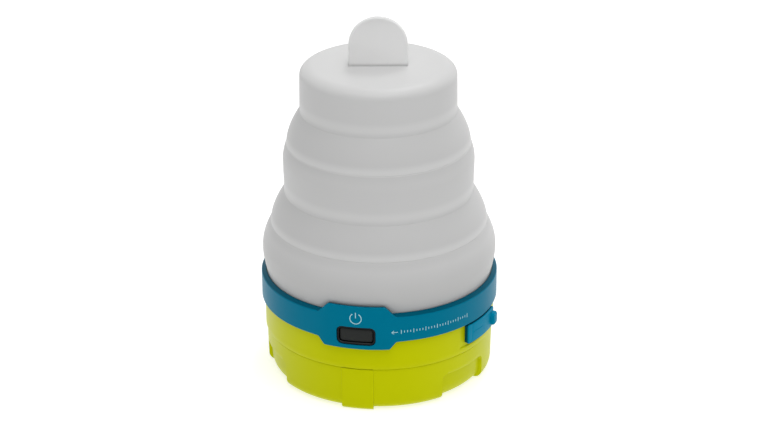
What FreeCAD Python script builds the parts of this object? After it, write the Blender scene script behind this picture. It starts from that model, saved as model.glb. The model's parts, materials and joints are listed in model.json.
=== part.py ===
"""Collapsible camping lantern: lime base drum, teal trim ring and a three-tier frosted silicone globe.

Millimetres. +Z is up, the origin is the centre of the plane of the feet, and the button faces -Y.
Angles called azimuth are measured about Z from the button's direction towards +X.
"""
import FreeCAD, Part
import math
import os

V = FreeCAD.Vector
UP = V(0, 0, 1)

# Battery, which sets the width of the drum
CELL_R = 9.2
CELL_LENGTH = 65.0
CELL_Y = 10.2
CELL_ROOM = 0.6            # between the cell's outer corner and the cover wall
CRADLE_THICK = 1.2
CRADLE_END = 9.5           # cell that stands out past each end of the cradle
CRADLE_RIB = 3.0
CRADLE_RIB_RISE = 7.0
TAB_THICK = 0.3
TAB_WIDTH = 7.0
LEAD_R = 0.7
LEAD_BEND = 2.2

# Base drum
FOOT_DROP = 0.5            # feet stand this far below the cover's rim
COVER_HEIGHT = 16.2        # from the cover's rim to the seam
COVER_TAPER = 0.35
COVER_EDGE = 1.6           # rounded lower edge of the cover
COVER_WALL = 2.6
COVER_FLOOR = 2.2
SEAL_INSET = 1.04          # seal groove behind the cover's outer wall
SEAL_WIDTH = 1.04
SEAL_HEIGHT = 1.17
SEAM_LEDGE = 0.45          # housing wall stands out past the cover wall
HOUSING_BAND = 11.3        # housing wall between the seam and the trim ring
HOUSING_WALL = 3.0
RIM_DROP = 3.2             # housing rim under the top of the trim ring

# Feet pads and finger recesses, three of each
SIDE_COUNT = 3
FOOT_ANGLE = 16.0
FOOT_PROUD = 0.2
FOOT_DEPTH = 4.0           # radial width of a foot
FOOT_EDGE = 1.2            # rounded lower edge of a foot
RECESS_ANGLE = 29.6
RECESS_HEIGHT = 9.8
RECESS_DEPTH = 1.2
RECESS_CORNER = 2.5

# Trim ring and the badge round the button
RING_HEIGHT = 9.5
RING_BEVEL = 0.9           # rise of the ring's sloped top
RING_PROUD = 1.15
RING_SEAT_DEPTH = 0.7      # rebate of the housing under the ring
RING_EASE = 0.35           # eased lower edge
BADGE_PROUD = 0.3
BADGE_RISE = 4.0           # badge above the ring's edge
BADGE_DROP = 2.8           # badge below the ring
BADGE_TOP_ANGLE = 13.9     # half angle of the badge's upper edge
BADGE_LOW_ANGLE = 15.8     # half angle of its lower edge
BADGE_FOOT_ANGLE = 19.0    # half angle where its shoulders meet the ring

# Button and switch
BUTTON_WIDTH = 13.9
BUTTON_HEIGHT = 7.0
BUTTON_RISE = 5.0          # middle of the button above the badge's lower edge
BUTTON_CORNER = 2.0
BEZEL_LIP = 0.75
BEZEL_RECESS = 0.35        # bezel face behind the badge face
BEZEL_FLANGE = 1.0
BEZEL_INSIDE = 1.9         # bezel's inner end behind the housing wall
KEY_RECESS = 0.75          # key face behind the badge face
KEY_CORNER = 0.85
KEY_FLANGE = 0.9
KEY_FLANGE_STEP = 0.55
BUTTON_TRAVEL = 0.8
SWITCH_WIDTH = 6.0
SWITCH_DEPTH = 3.8
SWITCH_ROOF = 1.2          # switch body above its plunger
SWITCH_GAP = 0.4           # between the pressed key and the switch body
PLUNGER_R = 1.6
PLUNGER_DROP = 1.3         # plunger below the middle of the button
PLUNGER_SEAT = 2.2         # depth of the plunger's well beyond its travel

# Port, flap and the pocket round the flap
PORT_AZIMUTH = 71.0
PORT_WIDTH = 7.5
PORT_HEIGHT = 2.7
PORT_DEPTH = 5.2
PORT_CORNER = 0.8
PORT_SHELL = 0.35
PORT_REACH = 1.1           # port face inside the thickness of the housing wall
PORT_MOUTH_MARGIN = 1.0    # opening of the wall round the port
TONGUE_HEIGHT = 0.7
FLAP_START = 57.5          # azimuths of the flap's two ends
FLAP_HINGE = 61.0
FLAP_END = 84.0
FLAP_HEIGHT = 6.8
FLAP_PROUD = 1.5
FLAP_CORNER = 1.2
POCKET_MARGIN = 1.9
POCKET_DEPTH = 0.4
PLUG_DEPTH = 0.9
PULL_PROUD = 1.5
PULL_ANGLE = 5.0
PULL_HEIGHT = 4.6
PULL_DROP = 0.8            # middle of the pull below the middle of the flap
PULL_ROUND = 1.0

# Screw posts and boards
POST_ANGLES = (40.0, 160.0, 280.0)
POST_INSET = 5.5           # screw axes inside the housing wall
POST_R = 3.2
POST_RIB = 2.0
BOARD_POST_ANGLES = (-40.0, 84.0)
BOARD_POST_R = 2.8
SCREW_R = 1.5
SCREW_HEAD_R = 2.7
SCREW_HEAD = 1.8
SCREW_BITE = 7.0
BOARD_EDGE_ROOM = 2.0      # board edge inside the housing wall
BOARD_CELL_ROOM = 0.6      # straight board edge in front of the cell
BOARD_THICK = 1.6
SMALL_SCREW_R = 1.0
SMALL_HEAD_R = 1.9
SMALL_HEAD = 1.2
SMALL_BITE = 4.0
CHIP_THICK = 1.5
CHIP_WIDTH = 5.0
DRIVER_LENGTH = 4.0
CHARGER_LENGTH = 6.0
COIL_SIZE = 5.5
COIL_THICK = 2.8
CHIP_BEHIND = 9.0          # chips behind the light leads
COIL_BEHIND = 5.0

# Light deck
DECK_THICK = 1.5
LED_BOARD_THICK = 1.6
LED_SIZE = 3.0
LED_THICK = 0.8
LED_OUTER_COUNT = 12
LED_OUTER_STEP = 4.0       # outer ring of lights beyond the screws
LED_BOARD_EDGE = 5.0       # board edge beyond the outer ring of lights
LED_INNER_COUNT = 5
LED_INNER_STEP = 5.0       # inner ring of lights inside the screws
LED_SCREW_PITCH_R = 13.0
LED_SCREW_ANGLES = (30.0, 150.0, 270.0)

# Globe, from its neck up: heights of its bands and webs, and how far each one steps in
GLOBE_WALL = 1.9
WEB_WALL = 1.25
NECK_GAP = 0.2             # neck inside the trim ring
FLANGE_THICK = 2.0
FLANGE_HOLD = 1.9          # flange inside the housing wall
FLARE_HEIGHT = 7.1
BAND_BULGE = 1.2           # base band wider than the neck
BASE_BAND_HEIGHT = 2.1
BASE_SHOULDER_HEIGHT = 9.2
BASE_SHOULDER_IN = 2.85
LOWER_WEB_HEIGHT = 13.4
LOWER_WEB_IN = 5.0
MIDDLE_BAND_HEIGHT = 10.4
MIDDLE_BAND_TAPER = 0.27
MIDDLE_SHOULDER_HEIGHT = 6.0
MIDDLE_SHOULDER_IN = 1.12
UPPER_WEB_HEIGHT = 13.8
UPPER_WEB_IN = 4.9
CAP_HEIGHT = 14.4
CAP_TAPER = 0.13
CAP_EDGE = 2.25
FOLD_STEP = 0.25           # small ledge where a web meets the shoulder below it
WEB_HOLLOW_SHARE = 0.22    # share of a web's height in its hollow start
WEB_HOLLOW_LEAN = 0.7      # lean of the hollow start beside a straight web
WEB_HOLLOW_MID = 0.36
WEB_ROUND_SHARE = 0.28     # share of a web's height in its rounded end
WEB_ROUND_LEAN = 0.75
WEB_ROUND_MID = 0.3
SHOULDER_DOME = 0.62       # share of a shoulder's step at half its height
FLARE_MID_IN = 0.35
FLARE_MID_RISE = 0.4
TAB_W = 20.5
TAB_HEIGHT = 18.0
TAB_T = 4.4
TAB_AZIMUTH = 11.0         # direction that the tab's flat face looks in
TAB_ROUND = 1.2

# Clearances
SEAT_GAP = 0.15            # fixed pieces round each other
SLIDE_GAP = 0.25           # button in its bezel
RUN_GAP = 0.06             # plunger in its well
SOFT_GAP = 0.3             # rubber and silicone beside hard pieces
FLAP_GAP = 0.4             # hinge groove and flap outline
CUT_PAST = 1.0             # how far a cut runs past the face that it opens
LEVEL = 1e-6               # an edge shorter than this along an axis lies square to it

# Radii from the cell outwards
COVER_IN_R = math.hypot(CELL_LENGTH / 2, CELL_Y + CELL_R) + CELL_ROOM
COVER_R = COVER_IN_R + COVER_WALL
COVER_FOOT_R = COVER_R - COVER_TAPER
FOOT_R = COVER_R + FOOT_PROUD
SEAL_OUT_R = COVER_R - SEAL_INSET
SEAL_IN_R = SEAL_OUT_R - SEAL_WIDTH
HOUSING_R = COVER_R + SEAM_LEDGE
HOUSING_IN_R = HOUSING_R - HOUSING_WALL
RING_R = HOUSING_R + RING_PROUD
RING_SEAT_R = HOUSING_R - RING_SEAT_DEPTH
RING_IN_R = RING_SEAT_R + SEAT_GAP
BADGE_R = RING_R + BADGE_PROUD
BEZEL_END = HOUSING_IN_R - BEZEL_INSIDE
KEY_BACK = BEZEL_END - KEY_FLANGE
SWITCH_FACE = KEY_BACK - BUTTON_TRAVEL - SWITCH_GAP - PLUNGER_R / 2
PORT_FACE_R = HOUSING_IN_R + PORT_REACH
POCKET_R = HOUSING_R - POCKET_DEPTH
FLAP_R = HOUSING_R + FLAP_PROUD
FLAP_IN_R = POCKET_R + SEAT_GAP
PULL_R = FLAP_R + PULL_PROUD
POST_PITCH_R = HOUSING_IN_R - POST_INSET
SCREW_HOLE_R = SCREW_R + SEAT_GAP
SMALL_HOLE_R = SMALL_SCREW_R + SEAT_GAP
BOARD_R = HOUSING_IN_R - BOARD_EDGE_ROOM
LED_OUTER_PITCH_R = LED_SCREW_PITCH_R + LED_OUTER_STEP
LED_INNER_PITCH_R = LED_SCREW_PITCH_R - LED_INNER_STEP
LED_BOARD_R = LED_OUTER_PITCH_R + LED_BOARD_EDGE
GLOBE_NECK_R = RING_IN_R - NECK_GAP
FLANGE_R = HOUSING_IN_R - FLANGE_HOLD
DECK_R = GLOBE_NECK_R - GLOBE_WALL - SOFT_GAP
BASE_BAND_R = GLOBE_NECK_R + BAND_BULGE
LOWER_LEDGE_R = BASE_BAND_R - BASE_SHOULDER_IN
LOWER_FOLD_R = LOWER_LEDGE_R - FOLD_STEP
MIDDLE_FOOT_R = LOWER_FOLD_R - LOWER_WEB_IN
MIDDLE_BAND_R = MIDDLE_FOOT_R + MIDDLE_BAND_TAPER
UPPER_LEDGE_R = MIDDLE_BAND_R - MIDDLE_SHOULDER_IN
UPPER_FOLD_R = UPPER_LEDGE_R - FOLD_STEP
CAP_FOOT_R = UPPER_FOLD_R - UPPER_WEB_IN
CAP_R = CAP_FOOT_R - CAP_TAPER

# Heights from the feet upwards
RIM_Z = FOOT_DROP
FLOOR_Z = RIM_Z + COVER_FLOOR
CELL_Z = FLOOR_Z + CRADLE_THICK + CELL_R + SEAT_GAP
RECESS_TOP_Z = RIM_Z + RECESS_HEIGHT
SEAM_Z = RIM_Z + COVER_HEIGHT
POST_FOOT_Z = SEAM_Z + SEAT_GAP
RING_BOTTOM_Z = SEAM_Z + HOUSING_BAND
RING_EDGE_Z = RING_BOTTOM_Z + RING_HEIGHT
RING_TOP_Z = RING_EDGE_Z + RING_BEVEL
HOUSING_TOP_Z = RING_TOP_Z - RIM_DROP
BADGE_BOTTOM_Z = RING_BOTTOM_Z - BADGE_DROP
BADGE_TOP_Z = RING_EDGE_Z + BADGE_RISE
BUTTON_Z = BADGE_BOTTOM_Z + BUTTON_RISE
PLUNGER_Z = BUTTON_Z - PLUNGER_DROP
FLAP_TOP_Z = RING_BOTTOM_Z - FLAP_GAP
FLAP_BOTTOM_Z = FLAP_TOP_Z - FLAP_HEIGHT
FLAP_MID_Z = (FLAP_BOTTOM_Z + FLAP_TOP_Z) / 2
PULL_Z = FLAP_MID_Z - PULL_DROP
POCKET_BOTTOM_Z = FLAP_BOTTOM_Z - POCKET_MARGIN
BOARD_TOP_Z = FLAP_MID_Z - PORT_HEIGHT / 2
BOARD_Z = BOARD_TOP_Z - BOARD_THICK
BOARD_BACK_Y = CELL_Y - CELL_R - BOARD_CELL_ROOM
CRADLE_LENGTH = CELL_LENGTH - 2 * CRADLE_END
SWITCH_HEIGHT = PLUNGER_Z + PLUNGER_R + SWITCH_ROOF - BOARD_TOP_Z
DECK_Z = HOUSING_TOP_Z + FLANGE_THICK
LED_Z = DECK_Z + DECK_THICK + LED_BOARD_THICK
BASE_BAND_FULL_Z = RING_TOP_Z + FLARE_HEIGHT
BASE_BAND_SHOULDER_Z = BASE_BAND_FULL_Z + BASE_BAND_HEIGHT
LOWER_FOLD_Z = BASE_BAND_SHOULDER_Z + BASE_SHOULDER_HEIGHT
MIDDLE_FOOT_Z = LOWER_FOLD_Z + LOWER_WEB_HEIGHT
MIDDLE_SHOULDER_Z = MIDDLE_FOOT_Z + MIDDLE_BAND_HEIGHT
UPPER_FOLD_Z = MIDDLE_SHOULDER_Z + MIDDLE_SHOULDER_HEIGHT
CAP_FOOT_Z = UPPER_FOLD_Z + UPPER_WEB_HEIGHT
CAP_TOP_Z = CAP_FOOT_Z + CAP_HEIGHT


def polar(radius, azimuth, z=0.0):
    """Point at a radius and an azimuth from the button's direction."""
    turn = math.radians(azimuth)
    return V(radius * math.sin(turn), -radius * math.cos(turn), z)


def line(a, b):
    return Part.LineSegment(V(a[0], 0, a[1]), V(b[0], 0, b[1])).toShape()


def arc(a, mid, b):
    return Part.Arc(V(a[0], 0, a[1]), V(mid[0], 0, mid[1]), V(b[0], 0, b[1])).toShape()


def revolve(edges):
    """Turn a closed profile in the XZ plane about Z."""
    face = Part.Face(Part.Wire(edges))
    return face.revolve(V(0, 0, 0), UP, 360)


def turned(points):
    """Revolve a closed polygon of (radius, z) points."""
    return revolve([line(a, b) for a, b in zip(points, points[1:] + points[:1])])


def tube(outer, inner, bottom, top):
    ring = Part.makeCylinder(outer, top - bottom, V(0, 0, bottom))
    return ring.cut(Part.makeCylinder(inner, top - bottom, V(0, 0, bottom)))


def rounded_plate(width, height, corner, depth):
    """Plate in the XZ plane with round corners, centred, running from y = 0 to y = depth."""
    half_w = width / 2
    half_h = height / 2
    plate = Part.makeBox(width, depth, height, V(-half_w, 0, -half_h))
    upright = [e for e in plate.Edges if abs(e.BoundBox.YLength - depth) < LEVEL]
    return plate.makeFillet(min(corner, 0.49 * height, 0.49 * width), upright)


def front_plate(width, height, corner, near, far, z):
    """Round-cornered plate in front of the axis, from distance near to distance far."""
    plate = rounded_plate(width, height, corner, far - near)
    plate.translate(V(0, -far, z))
    return plate


def swept(edges, start, end):
    """Turn a closed profile in the XZ plane from one azimuth to another."""
    bar = Part.Face(Part.Wire(edges)).revolve(V(0, 0, 0), UP, end - start)
    bar.rotate(V(0, 0, 0), UP, start - 90)
    return bar


def sector(outer, inner, start, end, bottom, top):
    """Part of a tube between two azimuths."""
    corners = [(inner, bottom), (outer, bottom), (outer, top), (inner, top)]
    return swept([line(a, b) for a, b in zip(corners, corners[1:] + corners[:1])], start, end)


def around(solid, azimuth):
    """Copy of a solid, modelled at the front, turned to an azimuth."""
    copy = solid.copy()
    copy.rotate(V(0, 0, 0), UP, azimuth)
    return copy


def side_angles(first):
    return [first + 360.0 * k / SIDE_COUNT for k in range(SIDE_COUNT)]


def screw(tip_z, head_z, radius, head_r, head, upward):
    """Pan-head screw on the Z axis; its head lies below head_z if it drives upward, else above."""
    low = min(tip_z, head_z)
    shank = Part.makeCylinder(radius, abs(tip_z - head_z), V(0, 0, low))
    if upward:
        cap = Part.makeCylinder(head_r, head, V(0, 0, head_z - head))
        cap = cap.makeFillet(head / 3, [cap.Edges[2]])
    else:
        cap = Part.makeCylinder(head_r, head, V(0, 0, head_z))
        cap = cap.makeFillet(head / 3, [cap.Edges[0]])
    return shank.fuse(cap).removeSplitter()


def moved(solid, place):
    copy = solid.copy()
    copy.translate(place)
    return copy


def wire_along(points, radius, bend):
    """Round lead on straight runs with tangent arcs at the corners."""
    edges = []
    start = points[0]
    for before, corner, after in zip(points, points[1:], points[2:]):
        into = (corner - before).normalize()
        out = (after - corner).normalize()
        turn = into.getAngle(out)
        back = bend * math.tan(turn / 2)
        first = corner - into * back
        last = corner + out * back
        middle = (out - into).normalize()
        centre = corner + middle * (bend / math.cos(turn / 2))
        edges.append(Part.LineSegment(start, first).toShape())
        edges.append(Part.Arc(first, centre - middle * bend, last).toShape())
        start = last
    edges.append(Part.LineSegment(start, points[-1]).toShape())
    path = Part.Wire(edges)
    heading = (points[1] - points[0]).normalize()
    section = Part.Wire(Part.makeCircle(radius, points[0], heading))
    return path.makePipeShell([section], True, False)


# Base drum

def bottom_cover():
    rim_r = COVER_FOOT_R - COVER_EDGE
    low = RIM_Z + COVER_EDGE
    bend = COVER_EDGE * math.sqrt(0.5)
    edges = [
        line((0, RIM_Z), (rim_r, RIM_Z)),
        arc((rim_r, RIM_Z), (rim_r + bend, low - bend), (COVER_FOOT_R, low)),
        line((COVER_FOOT_R, low), (COVER_R, SEAM_Z)),
        line((COVER_R, SEAM_Z), (COVER_IN_R, SEAM_Z)),
        line((COVER_IN_R, SEAM_Z), (COVER_IN_R, FLOOR_Z)),
        line((COVER_IN_R, FLOOR_Z), (0, FLOOR_Z)),
        line((0, FLOOR_Z), (0, RIM_Z)),
    ]
    shell = revolve(edges)
    shell = shell.fuse([around(foot_pad(), a) for a in side_angles(0)])
    side_gap = SEAT_GAP / 2
    shell = shell.cut(tube(SEAL_OUT_R + side_gap, SEAL_IN_R - side_gap, SEAM_Z - SEAL_HEIGHT, SEAM_Z))
    shell = shell.cut([around(finger_recess(), a) for a in side_angles(180.0 / SIDE_COUNT)])
    for azimuth in POST_ANGLES:
        boss = Part.makeCylinder(POST_R, POST_FOOT_Z - FLOOR_Z, polar(POST_PITCH_R, azimuth, FLOOR_Z))
        shell = shell.fuse(boss)
    for azimuth in POST_ANGLES:
        height = POST_FOOT_Z - RIM_Z
        shell = shell.cut(Part.makeCylinder(SCREW_HOLE_R, height, polar(POST_PITCH_R, azimuth, RIM_Z)))
        well = Part.makeCylinder(SCREW_HEAD_R + SEAT_GAP, SCREW_HEAD, polar(POST_PITCH_R, azimuth, RIM_Z))
        shell = shell.cut(well)
    return shell.removeSplitter()


def foot_pad():
    """Pad on the wall that runs down past the rim, with a rounded lower edge."""
    foot_in_r = FOOT_R - FOOT_DEPTH
    bend = FOOT_EDGE * (1 - math.sqrt(0.5))
    edges = [
        line((foot_in_r, 0), (FOOT_R - FOOT_EDGE, 0)),
        arc((FOOT_R - FOOT_EDGE, 0), (FOOT_R - bend, bend), (FOOT_R, FOOT_EDGE)),
        line((FOOT_R, FOOT_EDGE), (FOOT_R, SEAM_Z)),
        line((FOOT_R, SEAM_Z), (COVER_IN_R, SEAM_Z)),
        line((COVER_IN_R, SEAM_Z), (COVER_IN_R, FLOOR_Z)),
        line((COVER_IN_R, FLOOR_Z), (foot_in_r, FLOOR_Z)),
        line((foot_in_r, FLOOR_Z), (foot_in_r, 0)),
    ]
    return swept(edges, -FOOT_ANGLE / 2, FOOT_ANGLE / 2)


def finger_recess():
    """Scoop in the front of the wall, open at the bottom, with round upper corners."""
    width = 2 * COVER_R * math.sin(math.radians(RECESS_ANGLE / 2))
    height = RECESS_TOP_Z - RIM_Z + RECESS_CORNER
    reach = COVER_R + 2 * RECESS_DEPTH
    plate = front_plate(width, height, RECESS_CORNER, 0, reach, RECESS_TOP_Z - height / 2)
    floor_r = COVER_R - RECESS_DEPTH
    core = Part.makeCone(floor_r - COVER_TAPER, floor_r, SEAM_Z - RIM_Z, V(0, 0, RIM_Z))
    below = Part.makeCylinder(floor_r - COVER_TAPER, RECESS_CORNER, V(0, 0, RIM_Z - RECESS_CORNER))
    return plate.cut(core.fuse(below))


def cover_seal():
    return tube(SEAL_OUT_R, SEAL_IN_R, SEAM_Z - SEAL_HEIGHT, SEAM_Z)


def cover_screws():
    head_z = RIM_Z + SCREW_HEAD
    one = screw(POST_FOOT_Z + SCREW_BITE, head_z, SCREW_R, SCREW_HEAD_R, SCREW_HEAD, True)
    return Part.makeCompound([moved(one, polar(POST_PITCH_R, a)) for a in POST_ANGLES])


def housing():
    profile = [
        (HOUSING_IN_R, SEAM_Z),
        (HOUSING_R, SEAM_Z),
        (HOUSING_R, RING_BOTTOM_Z),
        (RING_SEAT_R, RING_BOTTOM_Z),
        (RING_SEAT_R, HOUSING_TOP_Z),
        (HOUSING_IN_R, HOUSING_TOP_Z),
    ]
    shell = turned(profile)
    for azimuth in POST_ANGLES:
        shell = shell.fuse(post(azimuth, POST_R, POST_FOOT_Z, DECK_Z, HOUSING_TOP_Z))
    for azimuth in BOARD_POST_ANGLES:
        shell = shell.fuse(post(azimuth, BOARD_POST_R, POST_FOOT_Z, BOARD_Z, BOARD_Z))
    for azimuth in POST_ANGLES:
        height = DECK_Z - POST_FOOT_Z
        bore = Part.makeCylinder(SCREW_HOLE_R, height, polar(POST_PITCH_R, azimuth, POST_FOOT_Z))
        shell = shell.cut(bore)
    for azimuth in BOARD_POST_ANGLES:
        foot = polar(POST_PITCH_R, azimuth, BOARD_Z - SMALL_BITE)
        shell = shell.cut(Part.makeCylinder(SMALL_HOLE_R, SMALL_BITE, foot))
    shell = shell.cut(button_window())
    margin = math.degrees(POCKET_MARGIN / HOUSING_R)
    pocket = sector(HOUSING_R + CUT_PAST, POCKET_R, FLAP_START - margin, FLAP_END + margin, POCKET_BOTTOM_Z,
                    RING_BOTTOM_Z)
    shell = shell.cut(pocket)
    shell = shell.cut(port_mouth())
    return shell.removeSplitter()


def post(azimuth, radius, bottom, top, rib_top):
    """Screw post standing inside the housing wall, with a rib to the wall."""
    column = Part.makeCylinder(radius, top - bottom, V(0, -POST_PITCH_R, bottom))
    reach = HOUSING_IN_R + HOUSING_WALL / 3 - POST_PITCH_R
    rib = Part.makeBox(POST_RIB, reach, rib_top - bottom, V(-POST_RIB / 2, -POST_PITCH_R - reach, bottom))
    return around(column.fuse(rib), azimuth)


def button_window():
    reach = BADGE_R + CUT_PAST
    return front_plate(BUTTON_WIDTH, BUTTON_HEIGHT, BUTTON_CORNER, HOUSING_IN_R / 2, reach, BUTTON_Z)


def port_mouth():
    """Opening of the wall in front of the charging port."""
    margin = 2 * PORT_MOUTH_MARGIN
    mouth = front_plate(PORT_WIDTH + margin, PORT_HEIGHT + margin, PORT_HEIGHT / 2 + PORT_MOUTH_MARGIN / 2,
                        HOUSING_IN_R - HOUSING_WALL, HOUSING_R + CUT_PAST, FLAP_MID_Z)
    return around(mouth, PORT_AZIMUTH)


def trim_ring():
    profile = [
        (RING_IN_R, RING_BOTTOM_Z),
        (RING_R - RING_EASE, RING_BOTTOM_Z),
        (RING_R, RING_BOTTOM_Z + RING_EASE),
        (RING_R, RING_EDGE_Z),
        (RING_IN_R, RING_TOP_Z),
    ]
    ring = turned(profile)
    return ring.fuse(badge()).cut(button_window()).removeSplitter()


def badge():
    """Eight-sided plate bent round the ring, standing slightly proud of it."""
    top = BADGE_R * math.sin(math.radians(BADGE_TOP_ANGLE))
    low = BADGE_R * math.sin(math.radians(BADGE_LOW_ANGLE))
    foot = BADGE_R * math.sin(math.radians(BADGE_FOOT_ANGLE))
    outline = [(-low, BADGE_BOTTOM_Z), (low, BADGE_BOTTOM_Z), (foot, RING_BOTTOM_Z), (foot, RING_EDGE_Z),
               (top, BADGE_TOP_Z), (-top, BADGE_TOP_Z), (-foot, RING_EDGE_Z), (-foot, RING_BOTTOM_Z)]
    wire = Part.makePolygon([V(x, 0, z) for x, z in outline + outline[:1]])
    prism = Part.Face(wire).extrude(V(0, -2 * BADGE_R, 0))
    upper_in = BASE_BAND_R - SOFT_GAP / 2
    lower_in = HOUSING_R + SEAT_GAP
    shell = Part.makeCylinder(BADGE_R, BADGE_TOP_Z - BADGE_BOTTOM_Z, V(0, 0, BADGE_BOTTOM_Z))
    shell = shell.cut(Part.makeCylinder(lower_in, RING_BOTTOM_Z - BADGE_BOTTOM_Z, V(0, 0, BADGE_BOTTOM_Z)))
    shell = shell.cut(Part.makeCylinder(RING_R - RING_EASE, RING_HEIGHT, V(0, 0, RING_BOTTOM_Z)))
    shell = shell.cut(Part.makeCylinder(upper_in, BADGE_TOP_Z - RING_EDGE_Z, V(0, 0, RING_EDGE_Z)))
    return shell.common(prism)


# Button and switch

def button_bezel():
    width = BUTTON_WIDTH - 2 * SEAT_GAP
    height = BUTTON_HEIGHT - 2 * SEAT_GAP
    body = front_plate(width, height, BUTTON_CORNER - SEAT_GAP, BEZEL_END, BADGE_R, BUTTON_Z)
    body = body.common(Part.makeCylinder(BADGE_R - BEZEL_RECESS, 2 * BUTTON_Z))
    flange_front = math.sqrt(HOUSING_IN_R ** 2 - (BUTTON_WIDTH / 2 + BEZEL_FLANGE) ** 2) - SEAT_GAP
    flange = front_plate(BUTTON_WIDTH + 2 * BEZEL_FLANGE, BUTTON_HEIGHT + 2 * BEZEL_FLANGE,
                         BUTTON_CORNER + BEZEL_FLANGE, BEZEL_END, flange_front, BUTTON_Z)
    body = body.fuse(flange)
    bore = front_plate(width - 2 * BEZEL_LIP, height - 2 * BEZEL_LIP, BUTTON_CORNER - SEAT_GAP - BEZEL_LIP,
                       BEZEL_END - CUT_PAST, BADGE_R + CUT_PAST, BUTTON_Z)
    return body.cut(bore).removeSplitter()


def power_button():
    shrink = 2 * (SEAT_GAP + BEZEL_LIP + SLIDE_GAP)
    width = BUTTON_WIDTH - shrink
    height = BUTTON_HEIGHT - shrink
    key = front_plate(width, height, KEY_CORNER, BEZEL_END, BADGE_R, BUTTON_Z)
    key = key.common(Part.makeCylinder(BADGE_R - KEY_RECESS, 2 * BUTTON_Z))
    step = 2 * (SLIDE_GAP + KEY_FLANGE_STEP)
    flange = front_plate(width + step, height + step, KEY_CORNER + step / 2, KEY_BACK, BEZEL_END, BUTTON_Z)
    return key.fuse(flange).removeSplitter()


def switch_plunger():
    length = KEY_BACK - SWITCH_FACE + PLUNGER_SEAT / 2
    return Part.makeCylinder(PLUNGER_R, length, V(0, -KEY_BACK, PLUNGER_Z), V(0, 1, 0))


def tact_switch():
    corner = V(-SWITCH_WIDTH / 2, -SWITCH_FACE, BOARD_TOP_Z)
    body = Part.makeBox(SWITCH_WIDTH, SWITCH_DEPTH, SWITCH_HEIGHT, corner)
    depth = PLUNGER_SEAT / 2 + BUTTON_TRAVEL + SWITCH_GAP
    well = Part.makeCylinder(PLUNGER_R + RUN_GAP, depth, V(0, -SWITCH_FACE, PLUNGER_Z), V(0, 1, 0))
    return body.cut(well)


# Boards, port and battery

def main_board():
    board = Part.makeCylinder(BOARD_R, BOARD_THICK, V(0, 0, BOARD_Z))
    behind = Part.makeBox(3 * BOARD_R, BOARD_R, BOARD_THICK, V(-1.5 * BOARD_R, BOARD_BACK_Y, BOARD_Z))
    board = board.cut(behind)
    for azimuth in POST_ANGLES:
        room = POST_R + 2 * SOFT_GAP
        hole = Part.makeCylinder(room, BOARD_THICK, V(0, -POST_PITCH_R, BOARD_Z))
        slot = Part.makeBox(2 * room, BOARD_R, BOARD_THICK, V(-room, -POST_PITCH_R - BOARD_R, BOARD_Z))
        board = board.cut(around(hole.fuse(slot), azimuth))
    for azimuth in BOARD_POST_ANGLES:
        hole = Part.makeCylinder(SMALL_HOLE_R, BOARD_THICK, polar(POST_PITCH_R, azimuth, BOARD_Z))
        board = board.cut(hole)
    return board.removeSplitter()


def board_screws():
    one = screw(BOARD_TOP_Z - BOARD_THICK - SMALL_BITE + SEAT_GAP, BOARD_TOP_Z, SMALL_SCREW_R, SMALL_HEAD_R,
                SMALL_HEAD, False)
    return Part.makeCompound([moved(one, polar(POST_PITCH_R, a)) for a in BOARD_POST_ANGLES])


def board_chips():
    """Charge controller, coil and driver on the board, behind the light leads."""
    chip_y = lead_y() + CHIP_BEHIND - CHIP_WIDTH / 2
    coil_y = lead_y() + COIL_BEHIND - COIL_SIZE / 2
    charger_at = V(-2.5 * CHARGER_LENGTH, chip_y, BOARD_TOP_Z)
    charger = Part.makeBox(CHARGER_LENGTH, CHIP_WIDTH, CHIP_THICK, charger_at)
    driver = Part.makeBox(DRIVER_LENGTH, CHIP_WIDTH, CHIP_THICK, V(DRIVER_LENGTH, chip_y, BOARD_TOP_Z))
    coil = Part.makeBox(COIL_SIZE, COIL_SIZE, COIL_THICK, V(-COIL_SIZE, coil_y, BOARD_TOP_Z))
    return Part.makeCompound([charger, driver, coil])


def charging_port():
    start = PORT_FACE_R - PORT_DEPTH
    shell = front_plate(PORT_WIDTH, PORT_HEIGHT, PORT_CORNER, start, PORT_FACE_R, FLAP_MID_Z)
    room = 2 * PORT_SHELL
    hollow = front_plate(PORT_WIDTH - room, PORT_HEIGHT - room, PORT_CORNER - PORT_SHELL,
                         start + PORT_SHELL, PORT_FACE_R + CUT_PAST, FLAP_MID_Z)
    return around(shell.cut(hollow), PORT_AZIMUTH)


def port_insert():
    start = PORT_FACE_R - PORT_DEPTH + PORT_SHELL
    width = PORT_WIDTH - 4 * PORT_SHELL
    end = PORT_FACE_R - PORT_SHELL
    tongue = front_plate(width, TONGUE_HEIGHT, TONGUE_HEIGHT / 4, start, end, FLAP_MID_Z)
    return around(tongue, PORT_AZIMUTH)


def flap_body(start, end):
    """Bent rubber bar between two azimuths, with round corners where it is not cut by the hinge groove."""
    bar = sector(FLAP_R, FLAP_IN_R, FLAP_START, FLAP_END, FLAP_BOTTOM_Z, FLAP_TOP_Z)
    corners = [e for e in bar.Edges if e.BoundBox.ZLength < LEVEL and e.Length < 2 * (FLAP_R - FLAP_IN_R)]
    bar = bar.makeFillet(FLAP_CORNER, corners)
    keep = sector(FLAP_R + CUT_PAST, FLAP_IN_R - CUT_PAST, start, end, FLAP_BOTTOM_Z, FLAP_TOP_Z)
    return bar.common(keep)


def hinge_half_gap():
    return math.degrees(FLAP_GAP / 2 / FLAP_R)


def flap_anchor():
    return flap_body(FLAP_START, FLAP_HINGE - hinge_half_gap())


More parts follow.
